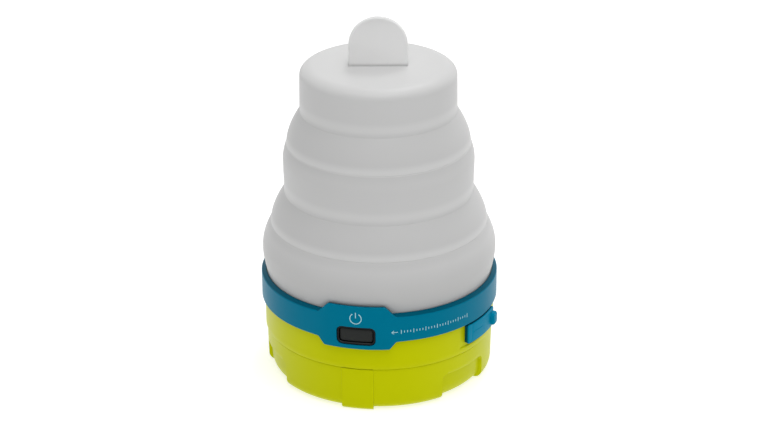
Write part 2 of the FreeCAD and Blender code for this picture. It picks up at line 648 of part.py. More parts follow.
def port_flap():
    body = flap_body(FLAP_HINGE + hinge_half_gap(), FLAP_END)
    plug = front_plate(PORT_WIDTH - 2 * PORT_SHELL, PORT_HEIGHT, PORT_HEIGHT / 2 - PORT_SHELL,
                       FLAP_IN_R - PLUG_DEPTH, (FLAP_IN_R + FLAP_R) / 2, FLAP_MID_Z)
    body = body.fuse(around(plug, PORT_AZIMUTH))
    pull = sector(PULL_R, FLAP_IN_R, FLAP_END - PULL_ANGLE, FLAP_END, PULL_Z - PULL_HEIGHT / 2,
                  PULL_Z + PULL_HEIGHT / 2)
    rim = [e for e in pull.Edges if e.BoundBox.ZLength < LEVEL and e.Length < 2 * (PULL_R - FLAP_IN_R)]
    pull = pull.makeFillet(PULL_ROUND, rim)
    return body.fuse(pull).removeSplitter()


def battery_cell():
    cell = Part.makeCylinder(CELL_R, CELL_LENGTH, V(-CELL_LENGTH / 2, CELL_Y, CELL_Z), V(1, 0, 0))
    ends = [e for e in cell.Edges if e.BoundBox.XLength < LEVEL]
    return cell.makeFillet(CELL_R / 12, ends)


def battery_cradle():
    half = CRADLE_LENGTH / 2
    front_y = CELL_Y - CELL_R
    plate = Part.makeBox(CRADLE_LENGTH, 2 * CELL_R, CRADLE_THICK, V(-half, front_y, FLOOR_Z))
    ribs = []
    for x in (-half, half - CRADLE_RIB):
        ribs.append(Part.makeBox(CRADLE_RIB, 2 * CELL_R, CRADLE_RIB_RISE, V(x, front_y, FLOOR_Z)))
    body = plate.fuse(ribs)
    cell_end = V(-CELL_LENGTH / 2, CELL_Y, CELL_Z)
    room = Part.makeCylinder(CELL_R + SEAT_GAP, CELL_LENGTH, cell_end, V(1, 0, 0))
    return body.cut(room).removeSplitter()


def battery_tabs():
    """Welded nickel strips on the two ends of the cell."""
    tabs = []
    for x in (-CELL_LENGTH / 2 - TAB_THICK, CELL_LENGTH / 2):
        corner = V(x, CELL_Y - TAB_WIDTH / 2, CELL_Z - TAB_WIDTH / 2)
        tabs.append(Part.makeBox(TAB_THICK, TAB_WIDTH, TAB_WIDTH, corner))
    return Part.makeCompound(tabs)


def battery_leads():
    """One lead from each tab along the cell's front to the underside of the board."""
    leads = []
    for side in (-1, 1):
        end_x = side * (CELL_LENGTH / 2 + TAB_THICK + LEAD_R)
        lane_y = CELL_Y - CELL_R - 2 * LEAD_R - SOFT_GAP
        land_x = side * CRADLE_LENGTH / 4
        points = [V(end_x, CELL_Y, CELL_Z), V(end_x, lane_y, CELL_Z), V(land_x, lane_y, CELL_Z),
                  V(land_x, lane_y, BOARD_Z)]
        leads.append(wire_along(points, LEAD_R, LEAD_BEND))
    return Part.makeCompound(leads)


# Light deck

def led_deck():
    deck = Part.makeCylinder(DECK_R, DECK_THICK, V(0, 0, DECK_Z))
    for azimuth in POST_ANGLES:
        hole = Part.makeCylinder(SCREW_HOLE_R, DECK_THICK, polar(POST_PITCH_R, azimuth, DECK_Z))
        deck = deck.cut(hole)
    for azimuth in LED_SCREW_ANGLES:
        hole = Part.makeCylinder(SMALL_HOLE_R, DECK_THICK, polar(LED_SCREW_PITCH_R, azimuth, DECK_Z))
        deck = deck.cut(hole)
    for x in lead_lanes():
        hole = Part.makeCylinder(LEAD_R + SOFT_GAP, DECK_THICK, V(x, lead_y(), DECK_Z))
        deck = deck.cut(hole)
    return deck


def deck_screws():
    head_z = DECK_Z + DECK_THICK
    one = screw(DECK_Z - SCREW_BITE, head_z, SCREW_R, SCREW_HEAD_R, SCREW_HEAD, False)
    return Part.makeCompound([moved(one, polar(POST_PITCH_R, a)) for a in POST_ANGLES])


def led_board():
    bottom = DECK_Z + DECK_THICK
    board = Part.makeCylinder(LED_BOARD_R, LED_BOARD_THICK, V(0, 0, bottom))
    for azimuth in LED_SCREW_ANGLES:
        place = polar(LED_SCREW_PITCH_R, azimuth, bottom)
        hole = Part.makeCylinder(SMALL_HOLE_R, LED_BOARD_THICK, place)
        board = board.cut(hole)
    return board


def led_board_screws():
    one = screw(DECK_Z, LED_Z, SMALL_SCREW_R, SMALL_HEAD_R, SMALL_HEAD, False)
    return Part.makeCompound([moved(one, polar(LED_SCREW_PITCH_R, a)) for a in LED_SCREW_ANGLES])


def led_emitters():
    chips = []
    for count, pitch_r in ((LED_OUTER_COUNT, LED_OUTER_PITCH_R), (LED_INNER_COUNT, LED_INNER_PITCH_R)):
        for k in range(count):
            corner = V(-LED_SIZE / 2, -pitch_r - LED_SIZE / 2, LED_Z)
            chip = Part.makeBox(LED_SIZE, LED_SIZE, LED_THICK, corner)
            chips.append(around(chip, 360.0 * k / count))
    return Part.makeCompound(chips)


def lead_lanes():
    return (-LED_BOARD_R / 6, LED_BOARD_R / 6)


def lead_y():
    """Leads rise just in front of the LED board, clear of the switch."""
    return -LED_BOARD_R - LEAD_R - SOFT_GAP


def led_leads():
    """Two leads from the main board up through the deck and onto the LED board's edge."""
    rise = LED_Z + LEAD_R + LEAD_BEND
    leads = []
    for x in lead_lanes():
        points = [V(x, lead_y(), BOARD_TOP_Z), V(x, lead_y(), rise),
                  V(x, lead_y() + 2 * LEAD_BEND + LEAD_R, rise)]
        leads.append(wire_along(points, LEAD_R, LEAD_BEND))
    return Part.makeCompound(leads)


# Globe

def web_edges(top_r, top_z, bottom_r, bottom_z):
    """Outer line of a web: hollow at the band above, straight, then rounded to the fold below."""
    height = top_z - bottom_z
    spread = bottom_r - top_r
    hollow_h = height * WEB_HOLLOW_SHARE
    hollow_w = spread * WEB_HOLLOW_SHARE * WEB_HOLLOW_LEAN
    round_h = height * WEB_ROUND_SHARE
    round_w = spread * WEB_ROUND_SHARE * WEB_ROUND_LEAN
    hollow = (top_r + hollow_w, top_z - hollow_h)
    hollow_mid = (top_r + hollow_w * WEB_HOLLOW_MID, top_z - hollow_h / 2)
    round_start = (bottom_r - round_w, bottom_z + round_h)
    round_mid = (bottom_r - round_w * WEB_ROUND_MID, bottom_z + round_h / 2)
    return [((top_r, top_z), hollow_mid, hollow), (hollow, None, round_start),
            (round_start, round_mid, (bottom_r, bottom_z))]


def chain(steps):
    return [arc(a, mid, b) if mid else line(a, b) for a, mid, b in steps]


def inward(steps, wall):
    """The same steps moved inwards and run backwards, for the inner side of a wall."""
    back = []
    for a, mid, b in reversed(steps):
        middle = (mid[0] - wall, mid[1]) if mid else None
        back.append(((b[0] - wall, b[1]), middle, (a[0] - wall, a[1])))
    return back


def walled(steps, wall):
    """Solid of revolution between an outer line and the same line moved inwards."""
    inner = inward(steps, wall)
    edges = chain(steps)
    edges.append(line(steps[-1][2], inner[0][0]))
    edges += chain(inner)
    edges.append(line(inner[-1][2], steps[0][0]))
    return revolve(edges)


def shoulder(top_r, top_z, bottom_r, bottom_z):
    """Domed step from a fold line down to a band's full radius."""
    mid_z = (top_z + bottom_z) / 2
    mid_r = top_r + (bottom_r - top_r) * SHOULDER_DOME
    return ((top_r, top_z), (mid_r, mid_z), (bottom_r, bottom_z))


def globe_base_band():
    neck_z = RING_TOP_Z + SOFT_GAP / 2
    flare_z = neck_z + (BASE_BAND_FULL_Z - neck_z) * FLARE_MID_RISE
    flare_mid = (BASE_BAND_R - BAND_BULGE * FLARE_MID_IN, flare_z)
    steps = [
        shoulder(LOWER_LEDGE_R, LOWER_FOLD_Z, BASE_BAND_R, BASE_BAND_SHOULDER_Z),
        ((BASE_BAND_R, BASE_BAND_SHOULDER_Z), None, (BASE_BAND_R, BASE_BAND_FULL_Z)),
        ((BASE_BAND_R, BASE_BAND_FULL_Z), flare_mid, (GLOBE_NECK_R, neck_z)),
        ((GLOBE_NECK_R, neck_z), None, (GLOBE_NECK_R, HOUSING_TOP_Z)),
    ]
    band = walled(steps, GLOBE_WALL)
    return band.fuse(tube(GLOBE_NECK_R, FLANGE_R, HOUSING_TOP_Z, DECK_Z)).removeSplitter()


def globe_lower_web():
    return walled(web_edges(MIDDLE_FOOT_R, MIDDLE_FOOT_Z, LOWER_FOLD_R, LOWER_FOLD_Z), WEB_WALL)


def globe_middle_band():
    steps = [
        shoulder(UPPER_LEDGE_R, UPPER_FOLD_Z, MIDDLE_BAND_R, MIDDLE_SHOULDER_Z),
        ((MIDDLE_BAND_R, MIDDLE_SHOULDER_Z), None, (MIDDLE_FOOT_R, MIDDLE_FOOT_Z)),
    ]
    return walled(steps, GLOBE_WALL)


def globe_upper_web():
    return walled(web_edges(CAP_FOOT_R, CAP_FOOT_Z, UPPER_FOLD_R, UPPER_FOLD_Z), WEB_WALL)


def globe_top_cap():
    bend = CAP_EDGE * (1 - math.sqrt(0.5))
    inner_top = CAP_TOP_Z - GLOBE_WALL
    edges = [
        line((0, CAP_TOP_Z), (CAP_R - CAP_EDGE, CAP_TOP_Z)),
        arc((CAP_R - CAP_EDGE, CAP_TOP_Z), (CAP_R - bend, CAP_TOP_Z - bend), (CAP_R, CAP_TOP_Z - CAP_EDGE)),
        line((CAP_R, CAP_TOP_Z - CAP_EDGE), (CAP_FOOT_R, CAP_FOOT_Z)),
        line((CAP_FOOT_R, CAP_FOOT_Z), (CAP_FOOT_R - GLOBE_WALL, CAP_FOOT_Z)),
        line((CAP_FOOT_R - GLOBE_WALL, CAP_FOOT_Z), (CAP_R - GLOBE_WALL, inner_top)),
        line((CAP_R - GLOBE_WALL, inner_top), (0, inner_top)),
        line((0, inner_top), (0, CAP_TOP_Z)),
    ]
    cap = revolve(edges).fuse(hang_tab()).removeSplitter()
    foot = [e for e in cap.Edges if on_tab_foot(e)]
    return around(cap.makeFillet(TAB_ROUND, foot), TAB_AZIMUTH)


def on_tab_foot(edge):
    """Edges where the tab stands on the cap's top face."""
    box = edge.BoundBox
    level = abs(box.ZMin - CAP_TOP_Z) < LEVEL and abs(box.ZMax - CAP_TOP_Z) < LEVEL
    return level and box.XMax < TAB_W / 2 + SEAT_GAP and box.YMax < TAB_T / 2 + SEAT_GAP


def hang_tab():
    """Upright tab with a half-round top and rounded edges."""
    half = TAB_W / 2
    straight = TAB_HEIGHT - half
    foot_z = CAP_TOP_Z - GLOBE_WALL / 2
    arch_z = CAP_TOP_Z + straight
    edges = [
        line((-half, foot_z), (half, foot_z)),
        line((half, foot_z), (half, arch_z)),
        arc((half, arch_z), (0, arch_z + half), (-half, arch_z)),
        line((-half, arch_z), (-half, foot_z)),
    ]
    plate = Part.Face(Part.Wire(edges)).extrude(V(0, TAB_T, 0))
    plate.translate(V(0, -TAB_T / 2, 0))
    rim = [e for e in plate.Edges if e.BoundBox.YLength < LEVEL and e.BoundBox.ZMax > CAP_TOP_Z]
    return plate.makeFillet(TAB_ROUND, rim)


NODES = (
    bottom_cover, cover_seal, cover_screws, housing, trim_ring,
    button_bezel, power_button, switch_plunger, tact_switch,
    main_board, board_screws, board_chips, charging_port, port_insert, flap_anchor, port_flap,
    battery_cell, battery_cradle, battery_tabs, battery_leads,
    led_deck, deck_screws, led_board, led_board_screws, led_emitters, led_leads,
    globe_base_band, globe_lower_web, globe_middle_band, globe_upper_web, globe_top_cap,
)

os.makedirs("parts", exist_ok=True)
for make in NODES:
    shape = make()
    if not shape.isValid():
        raise ValueError(make.__name__ + " is not a valid shape")
    shape.exportStep("parts/" + make.__name__ + ".step")
    print(make.__name__, len(shape.Solids), round(shape.Volume, 1))
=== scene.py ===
"""Looks of a collapsible camping lantern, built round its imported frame.

Lengths are metres, and angles of the shapes are degrees. Azimuths go about Z from the button's direction,
-Y, towards +X.
"""
import bmesh
import bpy
import json
import math
from bpy.props import FloatProperty, FloatVectorProperty, IntProperty, PointerProperty
from mathutils import Euler, Matrix, Vector


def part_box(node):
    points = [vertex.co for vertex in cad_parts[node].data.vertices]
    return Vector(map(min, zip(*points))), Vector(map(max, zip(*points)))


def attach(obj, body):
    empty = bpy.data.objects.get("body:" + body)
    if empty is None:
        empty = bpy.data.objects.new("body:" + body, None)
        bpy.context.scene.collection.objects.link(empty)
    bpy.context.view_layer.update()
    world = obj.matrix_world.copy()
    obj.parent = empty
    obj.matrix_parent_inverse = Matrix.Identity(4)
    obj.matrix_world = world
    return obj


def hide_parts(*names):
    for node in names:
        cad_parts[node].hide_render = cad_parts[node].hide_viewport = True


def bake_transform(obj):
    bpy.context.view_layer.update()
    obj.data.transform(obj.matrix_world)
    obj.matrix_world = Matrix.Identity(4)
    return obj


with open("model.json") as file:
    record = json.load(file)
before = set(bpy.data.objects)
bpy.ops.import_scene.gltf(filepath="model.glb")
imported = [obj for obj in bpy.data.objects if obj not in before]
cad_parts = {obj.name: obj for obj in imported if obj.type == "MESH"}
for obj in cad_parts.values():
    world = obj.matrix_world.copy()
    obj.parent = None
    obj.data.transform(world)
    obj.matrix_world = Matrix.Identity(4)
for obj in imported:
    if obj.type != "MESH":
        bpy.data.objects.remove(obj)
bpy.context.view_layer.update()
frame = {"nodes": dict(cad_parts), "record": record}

bl_info = {
    "name": "Camping Lantern Dresser",
    "version": (1, 0, 0),
    "blender": (4, 5, 0),
    "location": "View3D > Sidebar > Lantern",
    "description": "Dresses the frame of a collapsible camping lantern with its moulded pieces and finishes",
    "category": "Object",
}

MM = 0.001


def low(node):
    return Vector(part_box(node)[0])


def high(node):
    return Vector(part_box(node)[1])


# Heights and radii read from the frame
SEAM_Z = low("housing").z
HOUSING_R = high("housing").x
HOUSING_TOP_Z = high("housing").z
RING_R = -low("trim_ring").x
BADGE_R = -low("trim_ring").y
BADGE_TOP_Z = high("trim_ring").z
BADGE_BOTTOM_Z = low("trim_ring").z
LOWER_FOLD_Z = low("globe_lower_web").z
MIDDLE_FOOT_Z = low("globe_middle_band").z
UPPER_FOLD_Z = low("globe_upper_web").z
CAP_FOOT_Z = low("globe_top_cap").z
TAB_TOP_Z = high("globe_top_cap").z
BASE_BAND_R = high("globe_base_band").x
LOWER_FOLD_R = high("globe_lower_web").x
MIDDLE_BAND_R = high("globe_middle_band").x
UPPER_FOLD_R = high("globe_upper_web").x
CAP_FOOT_R = high("globe_top_cap").x
FLAP_BOTTOM_Z = low("port_flap").z
FLAP_TOP_Z = high("port_flap").z
FLAP_MID_Z = (FLAP_BOTTOM_Z + FLAP_TOP_Z) / 2
BEZEL_BACK_R = -high("button_bezel").y
KEY_BACK_R = -high("power_button").y

# Mesh detail
SHARP_ANGLE = 32.0
MERGE_GAP = 1e-7
HAIR = 0.002 * MM          # keeps neighbouring points of an outline apart
ROUND_MID = 0.3            # middle of a rounded corner, as a share of its radius
LEAST_CORNER = 0.02 * MM
CORE_R = 4.0 * MM          # flat middle that closes a turned floor or top
CUTTER_IN_R = 30.0 * MM
CUTTER_OUT_R = 50.0 * MM
WELL_SIDES = 48

# Sizes of the bottom cover
RIM_Z = 0.5 * MM
FLOOR_Z = 2.7 * MM
COVER_R = 41.05 * MM
COVER_FOOT_R = 40.7 * MM
COVER_IN_R = 38.45 * MM
COVER_EDGE = 2.9 * MM
EDGE_STEPS = 8
EDGE_ROOM = 0.1 * MM
WALL_STEP = 0.8 * MM
WALL_ROWS = (1.5 * MM, 3.5 * MM)
FOOT_ANGLES = (0.0, 120.0, 240.0)
FOOT_HALF = 8.0
FOOT_SIDE = 0.1
FOOT_R = 41.25 * MM
FOOT_IN_R = 37.25 * MM
FOOT_IN_SLOPE = 0.2 * MM
FOOT_EDGE = 2.0 * MM
RECESS_ANGLES = (60.0, 180.0, 300.0)
RECESS_HALF = 15.5
RECESS_EDGE = 4.0 * MM
RECESS_TOP_Z = 10.3 * MM
RECESS_DEPTH = 1.2 * MM
RECESS_CORNER = 2.5 * MM
RECESS_SIDE = 0.16 * MM
RECESS_STEP = 0.2 * MM
SEAM_GAP = 0.35 * MM
SEAM_LINE = 0.12 * MM
POST_ANGLES = (40.0, 160.0, 280.0)
POST_PITCH_R = 33.0 * MM
SCREW_WELL_R = 2.85 * MM

# Sizes of the housing and the ring
HOUSING_IN_R = 38.5 * MM
POCKET_START = 54.9
POCKET_END = 86.6
POCKET_BOTTOM_Z = 18.9 * MM
POCKET_DEPTH = 0.4 * MM
POCKET_SIDE = 0.2
POCKET_STEP = 0.1 * MM
POCKET_FADE = 0.25 * MM
POCKET_ROWS = (2 * MM, 5 * MM)
PORT_AZIMUTH = 71.0
PORT_WIDTH = 9.5 * MM
PORT_HEIGHT = 4.7 * MM
PORT_ROUND = 0.48          # corner of the port's mouth, as a share of its height
RING_SEAT_R = 40.8 * MM
RING_SEAT_STEP = 0.01 * MM
RING_UNDER = 0.15 * MM
RING_BOTTOM_Z = 28.0 * MM
RING_EDGE_Z = 37.5 * MM
RING_TOP_Z = 38.4 * MM
RING_IN_R = 40.95 * MM
BADGE_TOP_HALF = 13.9
BADGE_LOW_HALF = 15.8
BADGE_FOOT = 19.0
SWELL_START = BADGE_FOOT + 7.0
SWELL_END = BADGE_FOOT - 6.0
LOBE_IN_R = 41.8 * MM

# Sizes of the button and the printed signs; an edge is (inset, depth) steps in millimetres
WINDOW_WIDTH = 13.9 * MM
WINDOW_HEIGHT = 7.0 * MM
WINDOW_Z = 30.2 * MM
WINDOW_CORNER = 2.0 * MM
BEZEL_GAP = 0.12 * MM
BEZEL_LIP = 0.75 * MM
BEZEL_FRONT_R = BADGE_R - 0.3 * MM
BEZEL_OUTER_EDGE = ((0.0, 0.2), (0.08, 0.05), (0.2, 0.0))
BEZEL_INNER_EDGE = ((-0.15, 0.05), (0.0, 0.25))
KEY_GAP = 0.22 * MM
KEY_FLANGE = 0.7 * MM
KEY_SEAT = 0.01 * MM
KEY_FRONT_R = BADGE_R - 0.75 * MM
KEY_EDGE = ((0.0, 0.35), (0.1, 0.1), (0.35, 0.0), (0.8, -0.08), (1.6, -0.12))
SIGN_RISE = 0.05 * MM
SIGN_Z = 37.1 * MM
SIGN_R = 2.0 * MM
SIGN_OPENING = 32.0
SIGN_BAR = (0.2 * MM, 2.3 * MM)
SCALE_Z = 31.9 * MM
SCALE_START = 16.8
SCALE_THIN = 0.8           # width of the ticks, as a share of the sign's line
ARROW_LENGTH = 2.2 * MM
ARROW_HEAD = 0.8 * MM
ARROW_HALF = 0.6 * MM
TICK_COUNT = 25
TICK_START = 3.4 * MM
TICK_PITCH = 1.12 * MM
TICK_HALF = 0.4 * MM
LONG_TICK_HALF = 0.75 * MM
LONG_TICK_EVERY = 4

# Sizes of the flap
FLAP_START = 58.2
FLAP_HINGE = 61.0
FLAP_END = 84.0
FLAP_R = 43.0 * MM
FLAP_IN_R = 41.25 * MM
FLAP_DROP = 0.6 * MM
FLAP_ROOM = 0.08 * MM
FLAP_CORNER = 1.0 * MM
FLAP_BACK_EDGE = ((0.1, 0.0), (0.0, -0.15))
FLAP_EDGE = ((0.0, 0.3), (0.05, 0.15), (0.15, 0.04), (0.3, 0.0))
ANCHOR_CORNER = 0.7 * MM
HINGE_R = 42.9 * MM
HINGE_GAP = 0.2
STRAP_DEPTH = 0.9 * MM
STRAP_SINK = 0.06 * MM
STRAP_CORNER = 0.1 * MM
PULL_R = 44.5 * MM
PULL_Z = FLAP_MID_Z - 0.8 * MM
PULL_HALF = 2.5
PULL_HALF_HEIGHT = 2.3 * MM
PULL_CORNER = 1.0 * MM
PULL_ROOT = 0.8 * MM
PULL_EDGE = ((0.0, 0.7), (0.2, 0.25), (0.6, 0.0))
RIDGE_AZIMUTH = 66.5
RIDGE_HALF = 4.2
RIDGE_Z = FLAP_MID_Z - 0.3 * MM
RIDGE_HALF_HEIGHT = 0.28 * MM
RIDGE_CORNER = 0.2 * MM
RIDGE_EDGE = ((0.0, 0.2), (0.0, -0.02), (0.1, -0.12))

# Sizes of the globe
GLOBE_WALL = 1.9 * MM
WEB_WALL = 1.25 * MM
WEB_CURVE = 1.7
SHOULDER_CURVE = 1.8
NECK_R = 40.7 * MM
NECK_GAP = 0.15 * MM
NECK_CURVE = 1.3
NECK_STEPS = 8
FLANGE_R = 36.6 * MM
FLANGE_TOP_Z = 37.2 * MM
BASE_FULL_Z = 45.5 * MM
BASE_SHOULDER_Z = 47.6 * MM
MIDDLE_FOOT_R = 33.85 * MM
MIDDLE_SHOULDER_Z = 80.6 * MM
FOLD_EASE = 0.02 * MM
FOLD_SEAT = 0.04 * MM
HEEL_DROP = 1.8 * MM
CAP_R = 27.72 * MM
CAP_EDGE = 3.6 * MM
CAP_REACH = 5.2 * MM
TAB_HALF = 10.4 * MM
TAB_HEIGHT = 17.5 * MM
TAB_THICK = 4.4 * MM
TAB_TAPER = 0.45
TAB_AZIMUTH = 11.0
TAB_ROOT = 0.4 * MM
TAB_STEM = 1.5 * MM
TAB_STEPS = 36
TAB_EDGE = ((0.7, 0.5), (0.35, 0.46), (0.12, 0.38), (0.0, 0.24))   # inset in mm, share of the thickness
CAP_TOP_Z = TAB_TOP_Z - TAB_HEIGHT

# Painted light and shade on the silicone, as a share of the solid colour, and where it changes: darker at the
# neck, shoulders and flat top, paler along the folds and on the tab
NECK_SHARE = 0.60
SHOULDER_SHARE = 0.675
WEB_SHARE = 0.70
BAND_SHARE = 0.72
TOP_SHARE = 0.73
THIN_SHARE = 0.74
PAINTED_FOLD_LIGHT = 0.80
TAB_TIP_SHARE = 0.86
TAB_SHARE = 0.94
TAB_FOOT_SHARE = 1.1
FOLD_LINE = 0.3 * MM
FOLD_BAND = 1.3 * MM
FOLD_FADE = 3.2 * MM
FOOT_LIFT = 2.0 * MM
CAP_FADE = 1.5 * MM
TOP_PLATEAU = 0.5 * MM
TAB_FOOT = 1.1 * MM
TAB_TIP = 3.0 * MM

# Grain of the other finishes, painted shade on the teal's bevels and the flap's ends, and painted light on
# the flap
DRIFT_SCALE = 38.0
DRIFT_DETAIL = 3.0
GRAIN_DETAIL = 2.0
GRAIN_HEIGHT = 0.1 * MM
FACE_FADE = 0.25 * MM
RING_FACE = RING_R - 0.1 * MM
RING_PAINTED_SHADE = 0.52
FLAP_FACE = FLAP_R - 0.3 * MM
FLAP_PAINTED_SHADE = 0.3
# the flap's teal is lifted as painted light, for the brighter right side of the drum
FLAP_PAINTED_LIGHT = 1.3
LIME_SHEEN = (0.9, 1.0, 0.0)
TEAL_SHEEN = (0.0, 0.8, 1.0)
BLACK = (0.004, 0.006, 0.008)

# Colour, gloss and metal of the pieces that stay as the frame has them
INNER_FINISHES = {
    "seal_rubber": ((0.01, 0.01, 0.01), 0.6, 0.0),
    "screw_steel": ((0.55, 0.55, 0.56), 0.3, 1.0),
    "board_laminate": ((0.02, 0.14, 0.05), 0.3, 0.0),
    "chip_black": ((0.012, 0.012, 0.013), 0.5, 0.0),
    "switch_grey": ((0.12, 0.12, 0.12), 0.5, 0.0),
    "port_steel": ((0.62, 0.62, 0.60), 0.28, 1.0),
    "cell_wrap": ((0.02, 0.12, 0.32), 0.3, 0.0),
    "white_plastic": ((0.78, 0.78, 0.76), 0.4, 0.0),
    "led_core": ((0.8, 0.8, 0.8), 0.4, 0.0),
    "led_phosphor": ((0.85, 0.62, 0.12), 0.4, 0.0),
    "lead_insulation": ((0.42, 0.02, 0.015), 0.45, 0.0),
}

# Stage
WHITE = (1.0, 1.0, 1.0, 1.0)
FLOOR_HALF = 6.0
FLOOR_GREY = (0.6, 0.6, 0.6, 1.0)
FLOOR_ROUGHNESS = 0.9
FLOOR_GLOW = 0.5
FLOOR_WHITE = 0.16         # added to the glow where the floor is seen or mirrored
SOFTBOX_SIZE = 1.1
SOFTBOX_PLACE = (0.15, -0.3, 1.2)
REAR_LAMP_SIZE = 0.35
REAR_LAMP_PLACE = (0.1, 0.55, 0.95)
LAMP_AIM = Vector((0, 0, 0.06))
PHOTO_WIDTH = 760
SENSOR_WIDTH = 36.0
FAR_CLIP = 50.0


class LanternShape(bpy.types.PropertyGroup):
    """Sizes that a user may change."""
    edge_round: FloatProperty(
        name="Edge round", description="Radius of the moulded edges of hard pieces",
        default=0.25 * MM, min=0.05 * MM, max=0.6 * MM, unit="LENGTH")
    turn_steps: IntProperty(
        name="Turn steps", description="Segments round the globe", default=192, min=48, max=512)
    sign_line: FloatProperty(
        name="Sign line", description="Width of the printed lines", default=0.30 * MM, unit="LENGTH")


class LanternFinish(bpy.types.PropertyGroup):
    """Colours of the finishes."""
    lime: FloatVectorProperty(
        name="Lime", description="Base drum plastic", subtype="COLOR", default=(0.625, 0.662, 0.001))
    teal: FloatVectorProperty(
        name="Teal", description="Trim ring and flap", subtype="COLOR", default=(0.0, 0.19, 0.315))
    silicone: FloatVectorProperty(
        name="Silicone", description="Solid frosted silicone", subtype="COLOR", default=(0.875, 0.875, 0.872))
    key: FloatVectorProperty(
        name="Key", description="Rubber button", subtype="COLOR", default=(0.014, 0.016, 0.015))
    sign: FloatVectorProperty(
        name="Sign", description="Printed sign", subtype="COLOR", default=(0.42, 0.72, 0.78))


class LanternStage(bpy.types.PropertyGroup):
    """Camera and light."""
    azimuth: FloatProperty(
        name="Azimuth", description="Camera direction from the button",
        default=math.radians(11.2), subtype="ANGLE")
    distance: FloatProperty(
        name="Distance", description="Level distance of the camera from the axis",
        default=0.749, unit="LENGTH")
    height: FloatProperty(
        name="Height", description="Camera height over the feet", default=0.3945, unit="LENGTH")
    pitch: FloatProperty(
        name="Pitch", description="Downward tilt of the camera", default=math.radians(24.16), subtype="ANGLE")
    roll: FloatProperty(
        name="Roll", description="Lean of the camera to its side",
        default=math.radians(-0.3), subtype="ANGLE")
    focal_pixels: FloatProperty(
        name="Focal pixels", description="Focal length in pixels of the photo's frame", default=2284.0)
    axis_pixel: FloatProperty(
        name="Axis pixel", description="Column of the photo's frame where the axis stands", default=379.0)
    ambient: FloatProperty(
        name="Ambient", description="Strength of the even studio light", default=0.37)
    backdrop: FloatProperty(
        name="Backdrop", description="How much brighter the studio is behind the lantern", default=0.4)
    softbox: FloatProperty(
        name="Softbox", description="Power of the overhead softbox", default=8.2, unit="POWER")
    rear_lamp: FloatProperty(
        name="Rear lamp", description="Power of the smaller lamp behind the lantern",
        default=2.2, unit="POWER")


def shape():
    return bpy.context.scene.lantern_shape


def finish():
    return bpy.context.scene.lantern_finish


# Mesh helpers

def polar(radius, azimuth, z):
    """Point at a radius and an azimuth from the button's direction."""
    turn = math.radians(azimuth)
    return (radius * math.sin(turn), -radius * math.cos(turn), z)


def smooth(edge_a, edge_b, value):
    """Smooth rise from 0 at edge_a to 1 at edge_b."""
    share = min(1.0, max(0.0, (value - edge_a) / (edge_b - edge_a)))
    return share * share * (3 - 2 * share)


def around_gap(azimuth, centre):
    """Signed angle from a centre, between -180 and 180."""
    return (azimuth - centre + 180.0) % 360.0 - 180.0


def both_sides(centres, half):
    """Azimuths of the two sides of each piece of a ring of like pieces."""
    return [centre + side * half for centre in centres for side in (-1, 1)]


def add_object(name, verts, faces):
    """Mesh object with smooth shading that stays crisp at its corners."""
    mesh = bpy.data.meshes.new(name)
    mesh.from_pydata(verts, [], faces)
    work = bmesh.new()
    work.from_mesh(mesh)
    bmesh.ops.remove_doubles(work, verts=work.verts, dist=MERGE_GAP)
    bmesh.ops.recalc_face_normals(work, faces=work.faces)
    work.to_mesh(mesh)
    work.free()
    mesh.shade_smooth()
    mesh.set_sharp_from_angle(angle=math.radians(SHARP_ANGLE))
    piece = bpy.data.objects.new(name, mesh)
    bpy.context.scene.collection.objects.link(piece)
    return piece


def lathe(name, azimuths, section, closed_centre=False):
    """Closed solid from one section of (radius, z) points per azimuth, all the way round."""
    verts = []
    faces = []
    rows = 0
    for azimuth in azimuths:
        points = section(azimuth)
        rows = len(points)
        verts += [polar(r, azimuth, z) for r, z in points]
    columns = len(azimuths)
    last = rows - 1 if closed_centre else rows
    for c in range(columns):
        here = c * rows
        there = (c + 1) % columns * rows
        for r in range(last):
            up = (r + 1) % rows
            faces.append((here + r, there + r, there + up, here + up))
    if closed_centre:
        faces.append(tuple(c * rows for c in range(columns)))
        faces.append(tuple(c * rows + rows - 1 for c in reversed(range(columns))))
    return add_object(name, verts, faces)


def profile_lathe(name, points, closed_centre=False):
    """Solid of the globe, turned from one profile."""
    steps = shape().turn_steps
    columns = [360.0 * k / steps for k in range(steps)]
    return lathe(name, columns, lambda azimuth: points, closed_centre)


def fine_columns(edges, step=1.5, reach=1.2, fine=0.15):
    """Azimuths round the drum, close together beside the given edges."""
    near = set(round(k * step, 4) for k in range(int(360 / step)))
    for edge in edges:
        count = int(reach / fine)
        near |= set(round((edge + k * fine) % 360.0, 4) for k in range(-count, count + 1))
    return sorted(near)


def pad_outline(half_w, half_h, corner, count=28):
    """Half heights of a round-cornered plate at columns across its width."""
    stops = [-half_w * math.cos(math.pi * k / count) for k in range(count + 1)]
    rows = []
    for s in stops:
        inside = max(0.0, abs(s) - (half_w - corner))
        drop = corner - math.sqrt(max(0.0, corner * corner - inside * inside))
        rows.append((s, half_h - drop))
    return rows


def eased_edge(radius, steps, inset=0.0):
    """Layers of a rounded edge at a radius, set in from the outline."""
    return [(inset + across * MM, radius - depth * MM) for across, depth in steps]


def walls(loops, closed=False):
    """Faces between each loop of points and the next, and back to the first if closed."""
    pairs = list(zip(loops, loops[1:]))
    if closed:
        pairs.append((loops[-1], loops[0]))
    size = len(loops[0])
    return [(a[k], a[(k + 1) % size], b[(k + 1) % size], b[k]) for a, b in pairs for k in range(size)]


